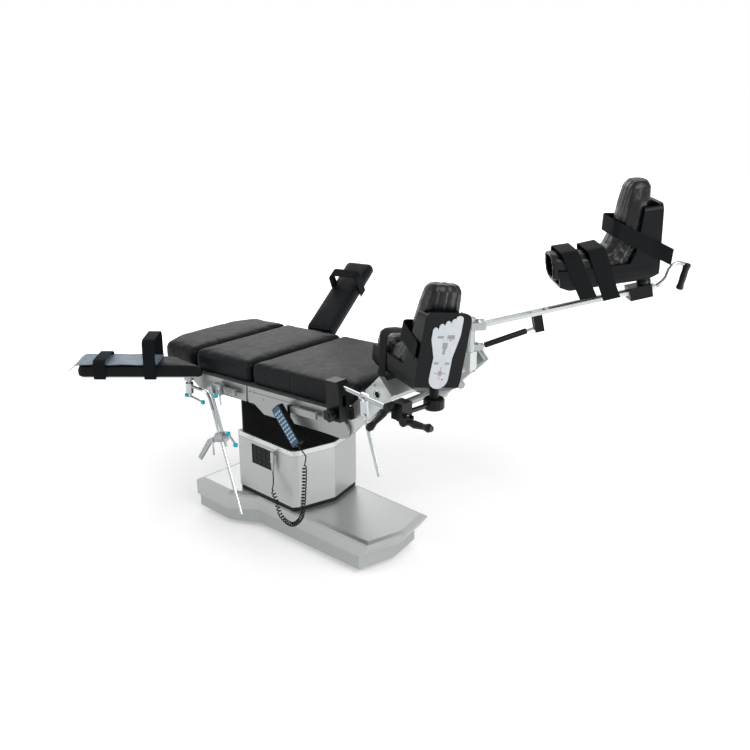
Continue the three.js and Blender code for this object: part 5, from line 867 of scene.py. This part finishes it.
# Generic marks printed on the sole plates: bars, a fork and a cross
def make_sole_marks():
    lean = math.atan2(29, 251)
    for side, boot in (("near", near_boot_frame), ("far", far_boot_frame)):
        place = boot @ Matrix.Translation((13.95, 0, 2)) @ Matrix.Rotation(lean, 4, "Y")
        grey, red = bmesh.new(), bmesh.new()
        for low, high in (((-30, 172), (-8, 180)), ((4, 170), (30, 184)), ((-8, 138), (10, 158)),
                          ((-4, 118), (6, 138)), ((-26, 84), (-10, 92)), ((12, 84), (28, 92)),
                          ((-6, 46), (8, 62))):
            add_block(grey, (2.6, low[0], low[1]), (3.15, high[0], high[1]))
        for low, high in (((-20, 53), (-8, 55)), ((10, 53), (22, 55)), ((0, 64), (2, 76)), ((0, 32), (2, 44)),
                          ((10, 30), (16, 36)), ((14, 164), (20, 168))):
            add_block(red, (2.6, low[0], low[1]), (3.2, high[0], high[1]))
        for colour, bm, finish in (("grey", grey, "grey_ink"), ("red", red, "red_ink")):
            name = f"{side}_{colour}_marks"
            mesh = from_bmesh(bm, name, place, smooth=False)
            finished(name, mesh, finish, f"{side}_boot")


make_pendant_panel()
make_knobs()
make_levers()
make_crank_trim()
make_riser_socket()
make_sole_marks()


# Sheet laid under the near arm
def make_sheet():
    from_x, to_x, from_y, to_y = 120, 484, -114, 30
    thick, lift, droop, edge_x, rim_band = 1.6, 1.4, 30, 440, 9
    across, along = 28, 64
    bm = bmesh.new()
    bmesh.ops.create_grid(bm, x_segments=along, y_segments=across, size=0.5)
    low = 4 + 46 + 4 + lift
    for vert in bm.verts:
        x = from_x + (to_x - from_x) * (vert.co.x + 0.5)
        y = from_y + (to_y - from_y) * (vert.co.y + 0.5)
        past = max(0.0, (x - edge_x) / (to_x - edge_x))
        wave = 1.1 * (1 + math.sin(x / 19 + y / 46)) + 0.8 * (1 + noise.noise(Vector((x, y, 0)) / 26))
        vert.co = (x, y, low + wave - droop * past * past)
    bmesh.ops.recalc_face_normals(bm, faces=bm.faces)
    bmesh.ops.solidify(bm, geom=bm.faces[:], thickness=thick)
    # Points near the sheet's edge get the rim attribute, which the film draws as a dark band.
    rim = bm.verts.layers.float.new("rim")
    for vert in bm.verts:
        inward = min(vert.co.x - from_x, to_x - vert.co.x, vert.co.y - from_y, to_y - vert.co.y)
        vert[rim] = 1.0 if inward < rim_band else 0.0
    mesh = from_bmesh(bm, "arm_sheet", near_arm_frame)
    piece = finished("arm_sheet", mesh, "film", "near_arm", ["near_arm_sheet"])


make_sheet()


# Lamps, floor and backdrop
def area_lamp(name, place, target, size, watts):
    data = bpy.data.lights.new(name, "AREA")
    data.energy = watts
    data.shape = "DISK"
    data.size = size
    lamp = bpy.data.objects.new(name, data)
    bpy.context.collection.objects.link(lamp)
    lamp.location = place
    lamp.rotation_euler = (Vector(target) - Vector(place)).to_track_quat("-Z", "Y").to_euler()


def background_share(material):
    """1 where the camera or a mirror looks, 0 where the surface only lights the object."""
    path = add_node(material, "LightPath")
    glossy = add_node(material, "Math", {0: path.outputs["Is Camera Ray"], 1: path.outputs["Is Glossy Ray"]},
                      operation="MAXIMUM")
    both = add_node(material, "Math", {0: glossy.outputs["Value"], 1: path.outputs["Is Transmission Ray"]},
                    operation="MAXIMUM")
    return both.outputs["Value"]


def make_world():
    world = bpy.data.worlds.new("white_studio")
    bpy.context.scene.world = world
    world.use_nodes = True
    background = world.node_tree.nodes["Background"]
    background.inputs["Color"].default_value = (1, 1, 1, 1)
    strength = add_node(world, "MapRange", {"Value": background_share(world), "To Min": 0.42, "To Max": 1.0})
    world.node_tree.links.new(strength.outputs["Result"], background.inputs["Strength"])


def make_floor():
    bm = bmesh.new()
    bmesh.ops.create_grid(bm, x_segments=1, y_segments=1, size=12)
    mesh = bpy.data.meshes.new("studio_floor")
    bm.to_mesh(mesh)
    bm.free()
    floor = bpy.data.objects.new("studio_floor", mesh)
    bpy.context.collection.objects.link(floor)
    material, shader = new_material("white_studio_floor", Roughness=0.9)
    shader.inputs["Base Color"].default_value = hex_colour("#E6E6E6")
    shader.inputs["Emission Color"].default_value = (1, 1, 1, 1)
    coordinates = add_node(material, "TexCoord")
    away = add_node(material, "VectorMath", {"Vector": coordinates.outputs["Object"]}, operation="LENGTH")
    fade = add_node(material, "MapRange", {"Value": away.outputs["Value"], "From Min": 0.9, "From Max": 3.2,
                                            "To Min": 0.34, "To Max": 1.0})
    glow = add_node(material, "Math", {0: fade.outputs["Result"], 1: background_share(material)},
                    operation="MULTIPLY")
    link(material, glow.outputs["Value"], shader.inputs["Emission Strength"])
    mesh.materials.append(material)


make_world()
make_floor()
# Name, place, target, size in metres and watts
lamps = [
    ("key", (2.9, -0.9, 3.0), (0, 0, 0.6), 2.2, 76),
    ("foot", (3.0, 0.9, 0.7), (0, 0, 0.4), 1.3, 34),
    ("fill", (-1.6, -2.9, 1.9), (0, 0, 0.5), 1.8, 32),
    ("back", (-3.5, 2.4, 2.9), (0, 0, 0.5), 2.2, 27),
]
for lamp in lamps:
    area_lamp(*lamp)
bpy.context.scene.view_settings.view_transform = "Standard"
